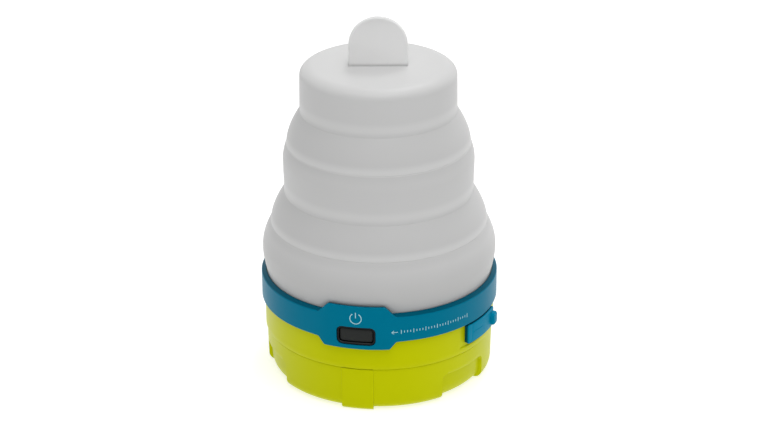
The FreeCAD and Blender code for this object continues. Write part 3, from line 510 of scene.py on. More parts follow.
def bent_pad(name, centre, mid_z, half_w, half_h, corner, layers, bent=True, hole=False):
    """Round-cornered plate that follows the drum, lofted through (inset, radius) layers.

    A bent plate is wrapped round the drum, else its sides stay parallel to its middle. With a hole the
    layers go round a frame and close on themselves.
    """
    verts = []
    loops = []
    turn = math.radians(centre)
    for inset, radius in layers:
        outline = pad_outline(half_w - inset, half_h - inset, max(LEAST_CORNER, corner - inset))
        path = outline + [(s, -h) for s, h in reversed(outline)]
        loops.append(range(len(verts), len(verts) + len(path)))
        for s, h in path:
            if bent:
                verts.append(polar(radius, centre + math.degrees(s / RING_R), mid_z + h))
            else:
                depth = math.sqrt(radius * radius - s * s)
                verts.append((s * math.cos(turn) + depth * math.sin(turn),
                              s * math.sin(turn) - depth * math.cos(turn), mid_z + h))
    faces = walls(loops, hole)
    if not hole:
        size = len(loops[0])
        for loop in (loops[0], loops[-1]):
            for k in range(size // 2 - 1):
                faces.append((loop[k], loop[k + 1], loop[size - 2 - k], loop[size - 1 - k]))
    return add_object(name, verts, faces)


def ribbon(name, strokes, width, face):
    """Printed lines laid on a face of the drum: each stroke is a list of (arc length, z) points."""
    verts = []
    faces = []
    for stroke in strokes:
        path = [Vector(p) for p in stroke]
        start = len(verts)
        for k, point in enumerate(path):
            ahead = path[min(k + 1, len(path) - 1)] - path[max(k - 1, 0)]
            across = Vector((-ahead.y, ahead.x)).normalized() * width / 2
            corners = (point + across, point - across)
            turns = [math.degrees(c.x / RING_R) for c in corners]
            verts += [polar(face(turn) + lift, turn, c.y)
                      for lift in (-SIGN_RISE, SIGN_RISE) for turn, c in zip(turns, corners)]
        for k in range(len(path) - 1):
            a = start + 4 * k
            b = a + 4
            for i, j in ((0, 1), (1, 3), (3, 2), (2, 0)):
                faces.append((a + i, a + j, b + j, b + i))
        end = start + 4 * (len(path) - 1)
        faces.append((start, start + 2, start + 3, start + 1))
        faces.append((end, end + 1, end + 3, end + 2))
    return add_object(name, verts, faces)


def carve(piece, cutter):
    """Cut one mesh out of another and drop the cutter."""
    cut = piece.modifiers.new("carve", "BOOLEAN")
    cut.object = cutter
    cut.operation = "DIFFERENCE"
    cut.solver = "EXACT"
    view = bpy.context.evaluated_depsgraph_get()
    carved = bpy.data.meshes.new_from_object(piece.evaluated_get(view))
    piece.modifiers.clear()
    piece.data = carved
    carved.set_sharp_from_angle(angle=math.radians(SHARP_ANGLE))
    bpy.data.objects.remove(cutter, do_unlink=True)


def carve_mouth(piece, width, height, corner, centre, z):
    """Cut a round-cornered mouth through a wall at an azimuth."""
    layers = [(0, CUTTER_IN_R), (0, CUTTER_OUT_R)]
    carve(piece, bent_pad("cutter", centre, z, width / 2, height / 2, corner, layers, bent=False))


def carve_window(piece):
    carve_mouth(piece, WINDOW_WIDTH, WINDOW_HEIGHT, WINDOW_CORNER, 0.0, WINDOW_Z)


def dress(piece, body, slot, material, *nodes):
    """Give a piece its body and finish, and let it stand for its nodes."""
    piece.data.materials.clear()
    piece.data.materials.append(material)
    if body:
        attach(piece, body)
    if nodes:
        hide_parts(*nodes)
    return piece


# Node helpers

def feed(tree, socket, value):
    """Link a socket to another node's output, or set it to a plain value."""
    if isinstance(value, bpy.types.NodeSocket):
        tree.links.new(value, socket)
    else:
        socket.default_value = value


def calc(tree, operation, *values, kind="ShaderNodeMath"):
    """Output of a new math node that takes its values in order."""
    node = tree.nodes.new(kind)
    node.operation = operation
    for socket, value in zip(node.inputs, values):
        feed(tree, socket, value)
    return node.outputs[0]


def scaled(tree, colour, share):
    """Output of a new node that multiplies a colour by a varying share."""
    node = tree.nodes.new("ShaderNodeVectorMath")
    node.operation = "SCALE"
    feed(tree, node.inputs[0], colour)
    feed(tree, node.inputs["Scale"], share)
    return node.outputs[0]


def object_place(tree):
    return tree.nodes.new("ShaderNodeTexCoord").outputs["Object"]


def new_group(name, inputs, outputs):
    """Empty shader node group with named sockets, and the outputs and inputs of its two ends."""
    group = bpy.data.node_groups.new(name, "ShaderNodeTree")
    for side, labels in (("INPUT", inputs), ("OUTPUT", outputs)):
        for label in labels:
            kind = "NodeSocketColor" if label == "Color" else "NodeSocketFloat"
            group.interface.new_socket(label, in_out=side, socket_type=kind)
    return group, group.nodes.new("NodeGroupInput").outputs, group.nodes.new("NodeGroupOutput").inputs


def place_group(tree, build, values):
    """Put a group into a node tree with its own values; the group is built once and named as its function."""
    node = tree.nodes.new("ShaderNodeGroup")
    node.node_tree = bpy.data.node_groups.get(build.__name__) or build()
    for label, value in values.items():
        feed(tree, node.inputs[label], value)
    return node


# Finishes

def moulded_grain():
    """Moulded surface: slow colour drift, uneven gloss and a fine grain."""
    inputs = ("Color", "Drift", "Gloss", "Gloss Change", "Grain Scale")
    group, given, out = new_group("moulded_grain", inputs, ("Color", "Roughness", "Height"))
    place = object_place(group)
    slow = group.nodes.new("ShaderNodeTexNoise")
    feed(group, slow.inputs["Vector"], place)
    feed(group, slow.inputs["Scale"], DRIFT_SCALE)
    feed(group, slow.inputs["Detail"], DRIFT_DETAIL)
    fine = group.nodes.new("ShaderNodeTexNoise")
    feed(group, fine.inputs["Vector"], place)
    feed(group, fine.inputs["Scale"], given["Grain Scale"])
    feed(group, fine.inputs["Detail"], GRAIN_DETAIL)
    centred = calc(group, "SUBTRACT", slow.outputs["Fac"], 0.5)
    drift = calc(group, "MULTIPLY_ADD", centred, given["Drift"], 1.0)
    feed(group, out["Color"], scaled(group, given["Color"], drift))
    feed(group, out["Roughness"], calc(group, "MULTIPLY_ADD", centred, given["Gloss Change"], given["Gloss"]))
    feed(group, out["Height"], fine.outputs["Fac"])
    return group


def face_shades():
    """Painted shade: colour that darkens off the outer face, on bevels, ends and window walls."""
    group, given, out = new_group("face_shades", ("Color", "Face Radius", "Depth"), ("Color",))
    level = calc(group, "MULTIPLY", object_place(group), (1.0, 1.0, 0.0), kind="ShaderNodeVectorMath")
    reach = group.nodes.new("ShaderNodeVectorMath")
    reach.operation = "LENGTH"
    feed(group, reach.inputs[0], level)
    inside = group.nodes.new("ShaderNodeMapRange")
    inside.interpolation_type = "SMOOTHSTEP"
    feed(group, inside.inputs["Value"], calc(group, "SUBTRACT", given["Face Radius"], reach.outputs["Value"]))
    feed(group, inside.inputs["From Max"], FACE_FADE)
    feed(group, inside.inputs["To Min"], 1.0)
    feed(group, inside.inputs["To Max"], given["Depth"])
    feed(group, out["Color"], scaled(group, given["Color"], inside.outputs["Result"]))
    return group


def fold_stops():
    """Heights of the globe and the painted light and shade there: darker thin walls, neck and shoulders,
    paler folds and a paler tab.
    """
    stops = [(RING_TOP_Z, NECK_SHARE)]
    for fold_z, foot_z in ((LOWER_FOLD_Z, MIDDLE_FOOT_Z), (UPPER_FOLD_Z, CAP_FOOT_Z)):
        heel_z = foot_z - HEEL_DROP
        pale_z = heel_z + FOOT_LIFT
        stops += [(fold_z - FOLD_FADE, BAND_SHARE), (fold_z - FOLD_LINE, SHOULDER_SHARE),
                  (fold_z, PAINTED_FOLD_LIGHT), (fold_z + FOLD_BAND, PAINTED_FOLD_LIGHT), (fold_z + FOLD_FADE, WEB_SHARE),
                  (heel_z, WEB_SHARE), (pale_z, PAINTED_FOLD_LIGHT), (pale_z + FOLD_BAND, PAINTED_FOLD_LIGHT),
                  (pale_z + FOLD_FADE, THIN_SHARE)]
    stops += [(CAP_TOP_Z - CAP_FADE, THIN_SHARE), (CAP_TOP_Z, TOP_SHARE),
              (CAP_TOP_Z + TOP_PLATEAU, TOP_SHARE), (CAP_TOP_Z + TAB_FOOT, TAB_FOOT_SHARE),
              (TAB_TOP_Z - TAB_TIP, TAB_SHARE), (TAB_TOP_Z, TAB_TIP_SHARE)]
    return stops


def fold_shades():
    """Painted light and shade on the silicone by its height on the globe."""
    group, given, out = new_group("fold_shades", ("Color",), ("Color",))
    split = group.nodes.new("ShaderNodeSeparateXYZ")
    feed(group, split.inputs[0], object_place(group))
    ramp = group.nodes.new("ShaderNodeValToRGB")
    feed(group, ramp.inputs["Fac"], calc(group, "DIVIDE", split.outputs["Z"], TAB_TOP_Z))
    elements = ramp.color_ramp.elements
    for k, (z, white) in enumerate(fold_stops()):
        if k < len(elements):
            stop = elements[k]
            stop.position = z / TAB_TOP_Z
        else:
            stop = elements.new(z / TAB_TOP_Z)
        stop.color = (white, white, white, 1.0)
    shade = calc(group, "MULTIPLY", given["Color"], ramp.outputs["Color"], kind="ShaderNodeVectorMath")
    feed(group, out["Color"], shade)
    return group


def moulded(name, colour, gloss, drift=0.06, gloss_change=0.12, grain=2600.0, bump=0.05, metallic=0.0,
            sheen=(1.0, 1.0, 1.0), shine=0.5, ior=1.5):
    """Moulded plastic, rubber or plain metal with a fine grain."""
    look = name + "_look"
    if look in bpy.data.materials:
        return bpy.data.materials[look]
    material = bpy.data.materials.new(look)
    material.use_nodes = True
    tree = material.node_tree
    grain_values = {"Color": (*colour, 1.0), "Drift": drift, "Gloss": gloss, "Gloss Change": gloss_change,
                    "Grain Scale": grain}
    surface = place_group(tree, moulded_grain, grain_values).outputs
    relief = tree.nodes.new("ShaderNodeBump")
    feed(tree, relief.inputs["Strength"], bump)
    feed(tree, relief.inputs["Distance"], GRAIN_HEIGHT)
    feed(tree, relief.inputs["Height"], surface["Height"])
    shader = tree.nodes["Principled BSDF"].inputs
    feed(tree, shader["Base Color"], surface["Color"])
    feed(tree, shader["Roughness"], surface["Roughness"])
    feed(tree, shader["Normal"], relief.outputs["Normal"])
    feed(tree, shader["Metallic"], metallic)
    feed(tree, shader["Specular Tint"], (*sheen, 1.0))
    feed(tree, shader["Specular IOR Level"], shine)
    feed(tree, shader["IOR"], ior)
    return material


def shaded(material, build, values):
    """Pass the colour of a moulded finish through one more group, once."""
    tree = material.node_tree
    base = tree.nodes["Principled BSDF"].inputs["Base Color"]
    source = base.links[0].from_socket
    if source.node.node_tree.name != build.__name__:
        node = place_group(tree, build, {"Color": source, **values})
        feed(tree, base, node.outputs["Color"])
    return material


def lime_plastic():
    return moulded("lime_plastic", finish().lime, 0.36, drift=0.05, sheen=LIME_SHEEN, shine=0.35, ior=1.38)


def teal_plastic():
    """Teal plastic, with painted shade on the ring's bevel."""
    material = moulded("teal_plastic", finish().teal, 0.38, drift=0.08, sheen=TEAL_SHEEN, shine=0.2, ior=1.3)
    return shaded(material, face_shades, {"Face Radius": RING_FACE, "Depth": RING_PAINTED_SHADE})


def teal_rubber():
    """Teal of the ring lifted as painted light for the flap on the brighter right side, with painted shade on
    the flap's ends.
    """
    painted_lit_teal = tuple(FLAP_PAINTED_LIGHT * share for share in finish().teal)
    material = moulded("teal_rubber", painted_lit_teal, 0.45, drift=0.08, grain=1800.0, bump=0.08,
                       sheen=TEAL_SHEEN, shine=0.2, ior=1.3)
    return shaded(material, face_shades, {"Face Radius": FLAP_FACE, "Depth": FLAP_PAINTED_SHADE})


def key_rubber():
    return moulded("key_rubber", finish().key, 0.5, drift=0.15, grain=1500.0, bump=0.12, shine=0.2)


def black_gloss():
    return moulded("black_gloss", BLACK, 0.25, shine=0.15)


def sign_ink():
    return moulded("sign_ink", finish().sign, 0.5, drift=0.1)


def frosted_silicone():
    """Frosted silicone with painted light along its fold lines and on the tab, and painted shade at its neck
    and shoulders.
    """
    material = moulded("frosted_silicone", finish().silicone, 0.40, drift=0.03, gloss_change=0.1,
                       grain=1600.0, bump=0.06, shine=0.25)
    return shaded(material, fold_shades, {})


class LANTERN_OT_inner_pieces(bpy.types.Operator):
    """Finish the boards, cell, screws and leads that stay as the frame has them"""
    bl_idname = "lantern.inner_pieces"
    bl_label = "Inner pieces"

    def execute(self, context):
        for row in frame["record"]["subparts"]:
            slot = row["material_slot"]
            if slot not in INNER_FINISHES:
                continue
            colour, gloss, metallic = INNER_FINISHES[slot]
            materials = frame["nodes"][row["node"]].data.materials
            materials.clear()
            materials.append(moulded(slot, colour, gloss, metallic=metallic))
        return {"FINISHED"}


# Base drum

def foot_share(azimuth):
    """One on a foot pad, nought beside it."""
    return max(smooth(-FOOT_SIDE, FOOT_SIDE, FOOT_HALF - abs(around_gap(azimuth, c))) for c in FOOT_ANGLES)


def recess_share(azimuth, z):
    """One in a finger recess, nought outside its round-cornered outline."""
    share = 0.0
    for centre in RECESS_ANGLES:
        across = math.radians(abs(around_gap(azimuth, centre)) - RECESS_HALF) * COVER_R + RECESS_CORNER
        up = z - RECESS_TOP_Z + RECESS_CORNER
        outside = math.hypot(max(across, 0.0), max(up, 0.0)) + min(max(across, up), 0.0) - RECESS_CORNER
        share = max(share, smooth(RECESS_SIDE, -RECESS_SIDE, outside))
    return share


def cover_radius(azimuth, z):
    """Outer wall of the bottom cover with its feet pads and finger recesses."""
    edge_z = RIM_Z + COVER_EDGE
    rise = max(0.0, (z - edge_z) / (SEAM_Z - edge_z))
    wall = COVER_FOOT_R + (COVER_R - COVER_FOOT_R) * rise
    wall -= RECESS_DEPTH * recess_share(azimuth, z)
    if z > SEAM_Z - SEAM_GAP:
        return wall - SEAM_LINE - (SEAM_GAP - SEAM_LINE) * foot_share(azimuth)
    return wall + (FOOT_R - wall) * foot_share(azimuth)


def cover_section(azimuth):
    """Section of the bottom cover: floor, rounded edge, wall, groove of the seam and inside."""
    pad = foot_share(azimuth)
    ground = RIM_Z * (1 - pad)
    edge = COVER_EDGE + (FOOT_EDGE - COVER_EDGE) * pad
    edge += (RECESS_EDGE - COVER_EDGE) * recess_share(azimuth, RIM_Z)
    foot_r = cover_radius(azimuth, RIM_Z)
    foot_in_r = min(FOOT_IN_R, foot_r - edge - EDGE_ROOM)
    points = [(CORE_R, RIM_Z), (foot_in_r - FOOT_IN_SLOPE, RIM_Z), (foot_in_r, ground)]
    for k in range(EDGE_STEPS + 1):
        turn = math.pi / 2 * k / EDGE_STEPS
        points.append((foot_r - edge + edge * math.sin(turn), ground + edge - edge * math.cos(turn)))
    lip = SEAM_Z - SEAM_GAP
    heights = [RIM_Z + RECESS_EDGE + EDGE_ROOM + WALL_STEP * k for k in range(4)]
    heights += [RECESS_TOP_Z - RECESS_CORNER + RECESS_STEP * k for k in range(1, 15)]
    heights += [RECESS_TOP_Z + rise for rise in WALL_ROWS] + [lip - SEAM_LINE]
    points += [(cover_radius(azimuth, z), z) for z in heights]
    groove_r = cover_radius(azimuth, SEAM_Z)
    points += [(cover_radius(azimuth, lip) - SEAM_LINE, lip), (groove_r, lip), (groove_r, SEAM_Z)]
    points += [(COVER_IN_R, SEAM_Z), (COVER_IN_R, FLOOR_Z), (CORE_R, FLOOR_Z)]
    return points


class LANTERN_OT_bottom_cover(bpy.types.Operator):
    """Lower lime shell with its feet pads, finger recesses and screw wells"""
    bl_idname = "lantern.bottom_cover"
    bl_label = "Bottom cover"

    def execute(self, context):
        columns = fine_columns(both_sides(FOOT_ANGLES, FOOT_HALF), reach=0.4, fine=0.05)
        columns += fine_columns(both_sides(RECESS_ANGLES, RECESS_HALF), reach=3.8, fine=0.2)
        cover = lathe("lime_cover", sorted(set(columns)), cover_section, closed_centre=True)
        for azimuth in POST_ANGLES:
            bpy.ops.mesh.primitive_cylinder_add(
                vertices=WELL_SIDES, radius=SCREW_WELL_R, depth=2 * FLOOR_Z - RIM_Z,
                location=polar(POST_PITCH_R, azimuth, 0))
            carve(cover, bpy.context.object)
        dress(cover, "base", "lime_plastic", lime_plastic(), "bottom_cover")
        return {"FINISHED"}


def pocket_depth(azimuth, z):
    """Shallow pocket of the wall round the flap."""
    sides = smooth(-POCKET_SIDE, POCKET_SIDE, min(azimuth - POCKET_START, POCKET_END - azimuth))
    floor = smooth(POCKET_BOTTOM_Z - POCKET_FADE, POCKET_BOTTOM_Z + POCKET_FADE, z)
    return POCKET_DEPTH * sides * floor


def housing_section(azimuth):
    """Section of the housing: seam, wall with the flap's pocket, seat of the ring and inside."""
    ease = shape().edge_round
    heights = [SEAM_Z + ease, POCKET_BOTTOM_Z - 4 * POCKET_STEP]
    heights += [POCKET_BOTTOM_Z + POCKET_STEP * k for k in range(-3, 4)]
    heights += [POCKET_BOTTOM_Z + rise for rise in POCKET_ROWS] + [RING_BOTTOM_Z]
    points = [(HOUSING_IN_R, SEAM_Z), (HOUSING_R - ease, SEAM_Z),
              (HOUSING_R - ROUND_MID * ease, SEAM_Z + ROUND_MID * ease)]
    points += [(HOUSING_R - pocket_depth(azimuth, z), z) for z in heights]
    points += [(RING_SEAT_R, RING_BOTTOM_Z + RING_SEAT_STEP), (RING_SEAT_R, HOUSING_TOP_Z),
               (HOUSING_IN_R, HOUSING_TOP_Z)]
    return points


class LANTERN_OT_housing(bpy.types.Operator):
    """Upper lime shell with the pocket of the flap and its openings"""
    bl_idname = "lantern.housing"
    bl_label = "Housing"

    def execute(self, context):
        wall = lathe("lime_housing", fine_columns((POCKET_START, POCKET_END)), housing_section)
        carve_window(wall)
        carve_mouth(wall, PORT_WIDTH, PORT_HEIGHT, PORT_HEIGHT * PORT_ROUND, PORT_AZIMUTH, FLAP_MID_Z)
        dress(wall, "base", "lime_plastic", lime_plastic(), "housing")
        return {"FINISHED"}


def soft_ramp(share, ease=0.14):
    """Straight rise from 0 to 1 with both of its corners rounded."""
    if share < -ease:
        return 0.0
    if share < ease:
        return (share + ease) ** 2 / (4 * ease)
    if share < 1 - ease:
        return share
    if share < 1 + ease:
        return 1 - (1 + ease - share) ** 2 / (4 * ease)
    return 1.0


def ring_face(azimuth):
    """Outer radius of the ring, which swells softly towards the badge."""
    return RING_R + (BADGE_R - RING_R) * smooth(SWELL_START, SWELL_END, abs(around_gap(azimuth, 0.0)))


def ring_section(azimuth):
    """Section of the ring, widened above and below into the badge near the button."""
    away = abs(around_gap(azimuth, 0.0))
    ease = shape().edge_round
    mid = ROUND_MID * ease
    upper = soft_ramp((BADGE_FOOT - away) / (BADGE_FOOT - BADGE_TOP_HALF))
    lower = soft_ramp((BADGE_FOOT - away) / (BADGE_FOOT - BADGE_LOW_HALF))
    outer = ring_face(azimuth)
    bottom = RING_BOTTOM_Z - (RING_BOTTOM_Z - BADGE_BOTTOM_Z) * lower
    top = RING_EDGE_Z + (BADGE_TOP_Z - RING_EDGE_Z) * upper
    bevel = (RING_TOP_Z - RING_EDGE_Z) / (RING_R - RING_IN_R)
    lobe_in = LOBE_IN_R if upper > 0 else outer - 1.2 * ease
    lobe_z = RING_EDGE_Z + bevel * (RING_R - lobe_in)
    under_r = HOUSING_R + RING_UNDER
    return [
        (RING_IN_R, RING_BOTTOM_Z), (under_r, RING_BOTTOM_Z - HAIR), (under_r, bottom - 2 * HAIR),
        (outer - ease, bottom - 2 * HAIR), (outer - mid, bottom + mid), (outer, bottom + ease),
        (outer, bottom + 2 * ease), (outer, WINDOW_Z), (outer, RING_EDGE_Z - 2.1 * ease),
        (outer, top - 2 * ease), (outer, top - ease), (outer - mid, top - mid), (outer - 1.1 * ease, top),
        (lobe_in, max(top, lobe_z + 2 * HAIR)), (lobe_in - HAIR, lobe_z), (RING_IN_R, RING_TOP_Z),
    ]


class LANTERN_OT_trim_ring(bpy.types.Operator):
    """Teal ring with its badge and the button's window"""
    bl_idname = "lantern.trim_ring"
    bl_label = "Trim ring"

    def execute(self, context):
        edges = [side * angle for side in (-1, 1) for angle in (BADGE_TOP_HALF, BADGE_LOW_HALF, BADGE_FOOT)]
        ring = lathe("teal_ring", fine_columns(edges, step=1.25), ring_section)
        carve_window(ring)
        dress(ring, "base", "teal_plastic", teal_plastic(), "trim_ring")
        return {"FINISHED"}


class LANTERN_OT_button(bpy.types.Operator):
    """Black bezel and the rubber key that is pressed into it"""
    bl_idname = "lantern.button"
    bl_label = "Button"

    def execute(self, context):
        layers = [(0, BEZEL_BACK_R)] + eased_edge(BEZEL_FRONT_R, BEZEL_OUTER_EDGE)
        layers += eased_edge(BEZEL_FRONT_R, BEZEL_INNER_EDGE, BEZEL_LIP) + [(BEZEL_LIP, BEZEL_BACK_R)]
        bezel = self.window_pad("black_bezel", layers, hole=True)
        dress(bezel, "base", "black_plastic", black_gloss(), "button_bezel")
        inset = BEZEL_LIP + KEY_GAP
        flange = inset - KEY_FLANGE
        layers = [(flange, KEY_BACK_R), (flange, BEZEL_BACK_R - 2 * KEY_SEAT),
                  (inset, BEZEL_BACK_R - KEY_SEAT)]
        key = self.window_pad("button_key", layers + eased_edge(KEY_FRONT_R, KEY_EDGE, inset))
        dress(key, "button", "button_rubber", key_rubber(), "power_button")
        return {"FINISHED"}

    def window_pad(self, name, layers, hole=False):
        """Flat-sided plate that fits the window."""
        half_w = WINDOW_WIDTH / 2 - BEZEL_GAP
        half_h = WINDOW_HEIGHT / 2 - BEZEL_GAP
        corner = WINDOW_CORNER - BEZEL_GAP
        return bent_pad(name, 0.0, WINDOW_Z, half_w, half_h, corner, layers, bent=False, hole=hole)


def sign_ring(steps=40):
    """Ring of the power sign, open at its top."""
    sweep = 360.0 - 2 * SIGN_OPENING
    turns = [math.radians(SIGN_OPENING + sweep * k / steps) for k in range(steps + 1)]
    return [(SIGN_R * math.sin(t), SIGN_Z + SIGN_R * math.cos(t)) for t in turns]


def hold_scale():
    """Arrow towards the button and a plain row of ticks behind it."""
    tip = math.radians(SCALE_START) * RING_R
    barb = tip + ARROW_HEAD
    strokes = [[(tip, SCALE_Z), (tip + ARROW_LENGTH, SCALE_Z)],
               [(barb, SCALE_Z + ARROW_HALF), (tip, SCALE_Z), (barb, SCALE_Z - ARROW_HALF)]]
    for k in range(TICK_COUNT):
        s = tip + TICK_START + TICK_PITCH * k
        half = TICK_HALF if k % LONG_TICK_EVERY else LONG_TICK_HALF
        strokes.append([(s, SCALE_Z - half), (s, SCALE_Z + half)])
    return strokes


class LANTERN_OT_signs(bpy.types.Operator):
    """Printed power sign and the pointer beside the button"""
    bl_idname = "lantern.signs"
    bl_label = "Signs"

    def execute(self, context):
        strokes = [sign_ring(), [(0, SIGN_Z + rise) for rise in SIGN_BAR]]
        sign = ribbon("power_sign", strokes, shape().sign_line, ring_face)
        dress(sign, "base", "teal_plastic", sign_ink())
        scale = ribbon("hold_scale", hold_scale(), shape().sign_line * SCALE_THIN, ring_face)
        dress(scale, "base", "teal_plastic", sign_ink())
        return {"FINISHED"}


class LANTERN_OT_flap(bpy.types.Operator):
    """Rubber port flap with its pull, its fixed end and the thin strap between them"""
    bl_idname = "lantern.flap"
    bl_label = "Port flap"

    def execute(self, context):
        half_h = (FLAP_TOP_Z - FLAP_BOTTOM_Z + FLAP_DROP) / 2 - FLAP_ROOM
        mid_z = FLAP_MID_Z - FLAP_ROOM - FLAP_DROP / 2

        def pad(name, centre, half, z, half_height, corner, layers, body, *nodes):
            piece = bent_pad(name, centre, z, math.radians(half) * RING_R, half_height, corner, layers)
            return dress(piece, body, "teal_rubber", teal_rubber(), *nodes)

        def bar(name, start, end, corner, body, node):
            layers = eased_edge(FLAP_IN_R, FLAP_BACK_EDGE) + eased_edge(FLAP_R, FLAP_EDGE)
            pad(name, (start + end) / 2, (end - start) / 2, mid_z, half_h, corner, layers, body, node)

        bar("rubber_flap", FLAP_HINGE + HINGE_GAP, FLAP_END, FLAP_CORNER, "flap", "port_flap")
        bar("rubber_anchor", FLAP_START, FLAP_HINGE - HINGE_GAP, ANCHOR_CORNER, "base", "flap_anchor")
        layers = [(0, FLAP_R - PULL_ROOT)] + eased_edge(PULL_R, PULL_EDGE)
        pad("flap_pull", FLAP_END - PULL_HALF, PULL_HALF, PULL_Z, PULL_HALF_HEIGHT, PULL_CORNER, layers,
            "flap")
        layers = [(0, HINGE_R - STRAP_DEPTH), (0, FLAP_R - STRAP_SINK)]
        strap = pad("hinge_strap", FLAP_HINGE, 4 * HINGE_GAP, mid_z, half_h - STRAP_CORNER, STRAP_CORNER,
                    layers, None)
        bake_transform(strap)
        layers = eased_edge(FLAP_R, RIDGE_EDGE)
        pad("flap_ridge", RIDGE_AZIMUTH, RIDGE_HALF, RIDGE_Z, RIDGE_HALF_HEIGHT, RIDGE_CORNER, layers, "flap")
        return {"FINISHED"}


# Globe

def flare_line(top, bottom, curve, steps):
    """Line from a top point out to a bottom one, where it ends upright."""
    shares = [k / steps for k in range(steps + 1)]
    return [(top[0] + (bottom[0] - top[0]) * (1 - (1 - t) ** curve), top[1] + (bottom[1] - top[1]) * t)
            for t in shares]


def shoulder_line(fold, band):
    """Domed step from just under a fold line down to the full radius of a band."""
    return flare_line((fold[0] + FOLD_EASE, fold[1] - FOLD_SEAT), band, SHOULDER_CURVE, 12)


def web_line(foot, fold):
    """Outer line of a web: a short heel under the foot of the tier above, then a flare to the fold below."""
    return [foot] + flare_line((foot[0], foot[1] - HEEL_DROP), fold, WEB_CURVE, 20)


def cap_arc(inset, steps=14):
    """Rounded edge of the cap from its top to its side, set in by a wall."""
    turns = [math.pi / 2 * k / steps for k in range(steps + 1)]
    return [(CAP_R - CAP_REACH + (CAP_REACH - inset) * math.sin(t),
             CAP_TOP_Z - CAP_EDGE + (CAP_EDGE - inset) * math.cos(t)) for t in turns]


def inner_line(points, wall):
    return [(r - wall, z) for r, z in reversed(points)]


def hang_tab():
    """Upright tab with a half-round top, soft edges and a taper towards its top."""
    arch_z = CAP_TOP_Z + TAB_HEIGHT - TAB_HALF
    stem = [(TAB_HALF, CAP_TOP_Z - TAB_ROOT), (TAB_HALF, CAP_TOP_Z + TAB_STEM)]
    turns = [math.pi * k / TAB_STEPS for k in range(TAB_STEPS + 1)]
    outline = stem + [(TAB_HALF * math.cos(t), arch_z + TAB_HALF * math.sin(t)) for t in turns]
    outline += [(-x, z) for x, z in reversed(stem)]
    centre = Vector((0.0, arch_z))
    azimuth = math.radians(TAB_AZIMUTH)
    layers = [(inset, -share) for inset, share in TAB_EDGE] + list(reversed(TAB_EDGE))
    verts = []
    loops = []
    for inset, share in layers:
        loops.append(range(len(verts), len(verts) + len(outline)))
        for x, z in outline:
            point = Vector((x, z))
            if z > CAP_TOP_Z:
                toward = (centre - point) if z > arch_z else Vector((-x, 0.0))
                point += toward.normalized() * inset * MM
            depth = share * TAB_THICK * (1 - TAB_TAPER * (z - CAP_TOP_Z) / TAB_HEIGHT)
            verts.append((point.x * math.cos(azimuth) - depth * math.sin(azimuth),
                          point.x * math.sin(azimuth) + depth * math.cos(azimuth), point.y))
    faces = walls(loops) + [tuple(loops[0]), tuple(reversed(loops[-1]))]
    return add_object("hang_tab", verts, faces)


class LANTERN_OT_globe(bpy.types.Operator):
    """Frosted silicone globe in bands, with thin webs between them"""
    bl_idname = "lantern.globe"
    bl_label = "Globe"

    def execute(self, context):
        lower_fold = (LOWER_FOLD_R, LOWER_FOLD_Z)
        upper_fold = (UPPER_FOLD_R, UPPER_FOLD_Z)
        middle_foot = (MIDDLE_FOOT_R, MIDDLE_FOOT_Z)
        cap_foot = (CAP_FOOT_R, CAP_FOOT_Z)
        self.base_band(lower_fold)
        self.web("silicone_lower_web", middle_foot, lower_fold, "base", "middle_tier", "globe_lower_web")
        outer = shoulder_line(upper_fold, (MIDDLE_BAND_R, MIDDLE_SHOULDER_Z)) + [middle_foot]
        band = profile_lathe("silicone_middle_band", outer + inner_line(outer, GLOBE_WALL))
        self.frost(band, "middle_tier", "globe_middle_band")
        self.web("silicone_upper_web", cap_foot, upper_fold, "middle_tier", "top_tier", "globe_upper_web")
        points = [(CORE_R, CAP_TOP_Z)] + cap_arc(0.0) + [cap_foot, (CAP_FOOT_R - GLOBE_WALL, CAP_FOOT_Z)]
        points += cap_arc(GLOBE_WALL)[::-1] + [(CORE_R, CAP_TOP_Z - GLOBE_WALL)]
        self.frost(profile_lathe("silicone_top_cap", points, closed_centre=True), "top_tier", "globe_top_cap")
        self.frost(hang_tab(), "top_tier")
        return {"FINISHED"}

    def frost(self, piece, body, *nodes):
        return dress(piece, body, "frosted_silicone", frosted_silicone(), *nodes)

    def base_band(self, fold):
        """Lowest tier, which narrows to its neck in the ring and ends in the clamped flange."""
        outer = shoulder_line(fold, (BASE_BAND_R, BASE_SHOULDER_Z)) + [(BASE_BAND_R, BASE_FULL_Z)]
        drop = BASE_FULL_Z - (RING_TOP_Z + NECK_GAP)
        for k in range(1, NECK_STEPS + 1):
            t = k / NECK_STEPS
            outer.append((BASE_BAND_R - (BASE_BAND_R - NECK_R) * t ** NECK_CURVE, BASE_FULL_Z - drop * t))
        points = outer + [(NECK_R, HOUSING_TOP_Z), (FLANGE_R, HOUSING_TOP_Z), (FLANGE_R, FLANGE_TOP_Z)]
        points += [(NECK_R - GLOBE_WALL, FLANGE_TOP_Z)] + inner_line(outer, GLOBE_WALL)
        self.frost(profile_lathe("silicone_base_band", points), "base", "globe_base_band")

    def web(self, name, foot, fold, body_below, body_above, node):
        """Thin web from a fold of one tier up to the foot of the next."""
        outer = web_line(foot, fold)
        web = self.frost(profile_lathe(name, outer + inner_line(outer, WEB_WALL)), None, node)
        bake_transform(web)


# Stage

def seen_white(tree, share):
    """Strength of plain white for rays that see the backdrop or mirror it, nought for the light itself."""
    path = tree.nodes.new("ShaderNodeLightPath").outputs
    seen = path["Is Camera Ray"]
    for label in ("Is Glossy Ray", "Is Transmission Ray"):
        seen = calc(tree, "MAXIMUM", seen, path[label])
    return calc(tree, "MULTIPLY", seen, share)


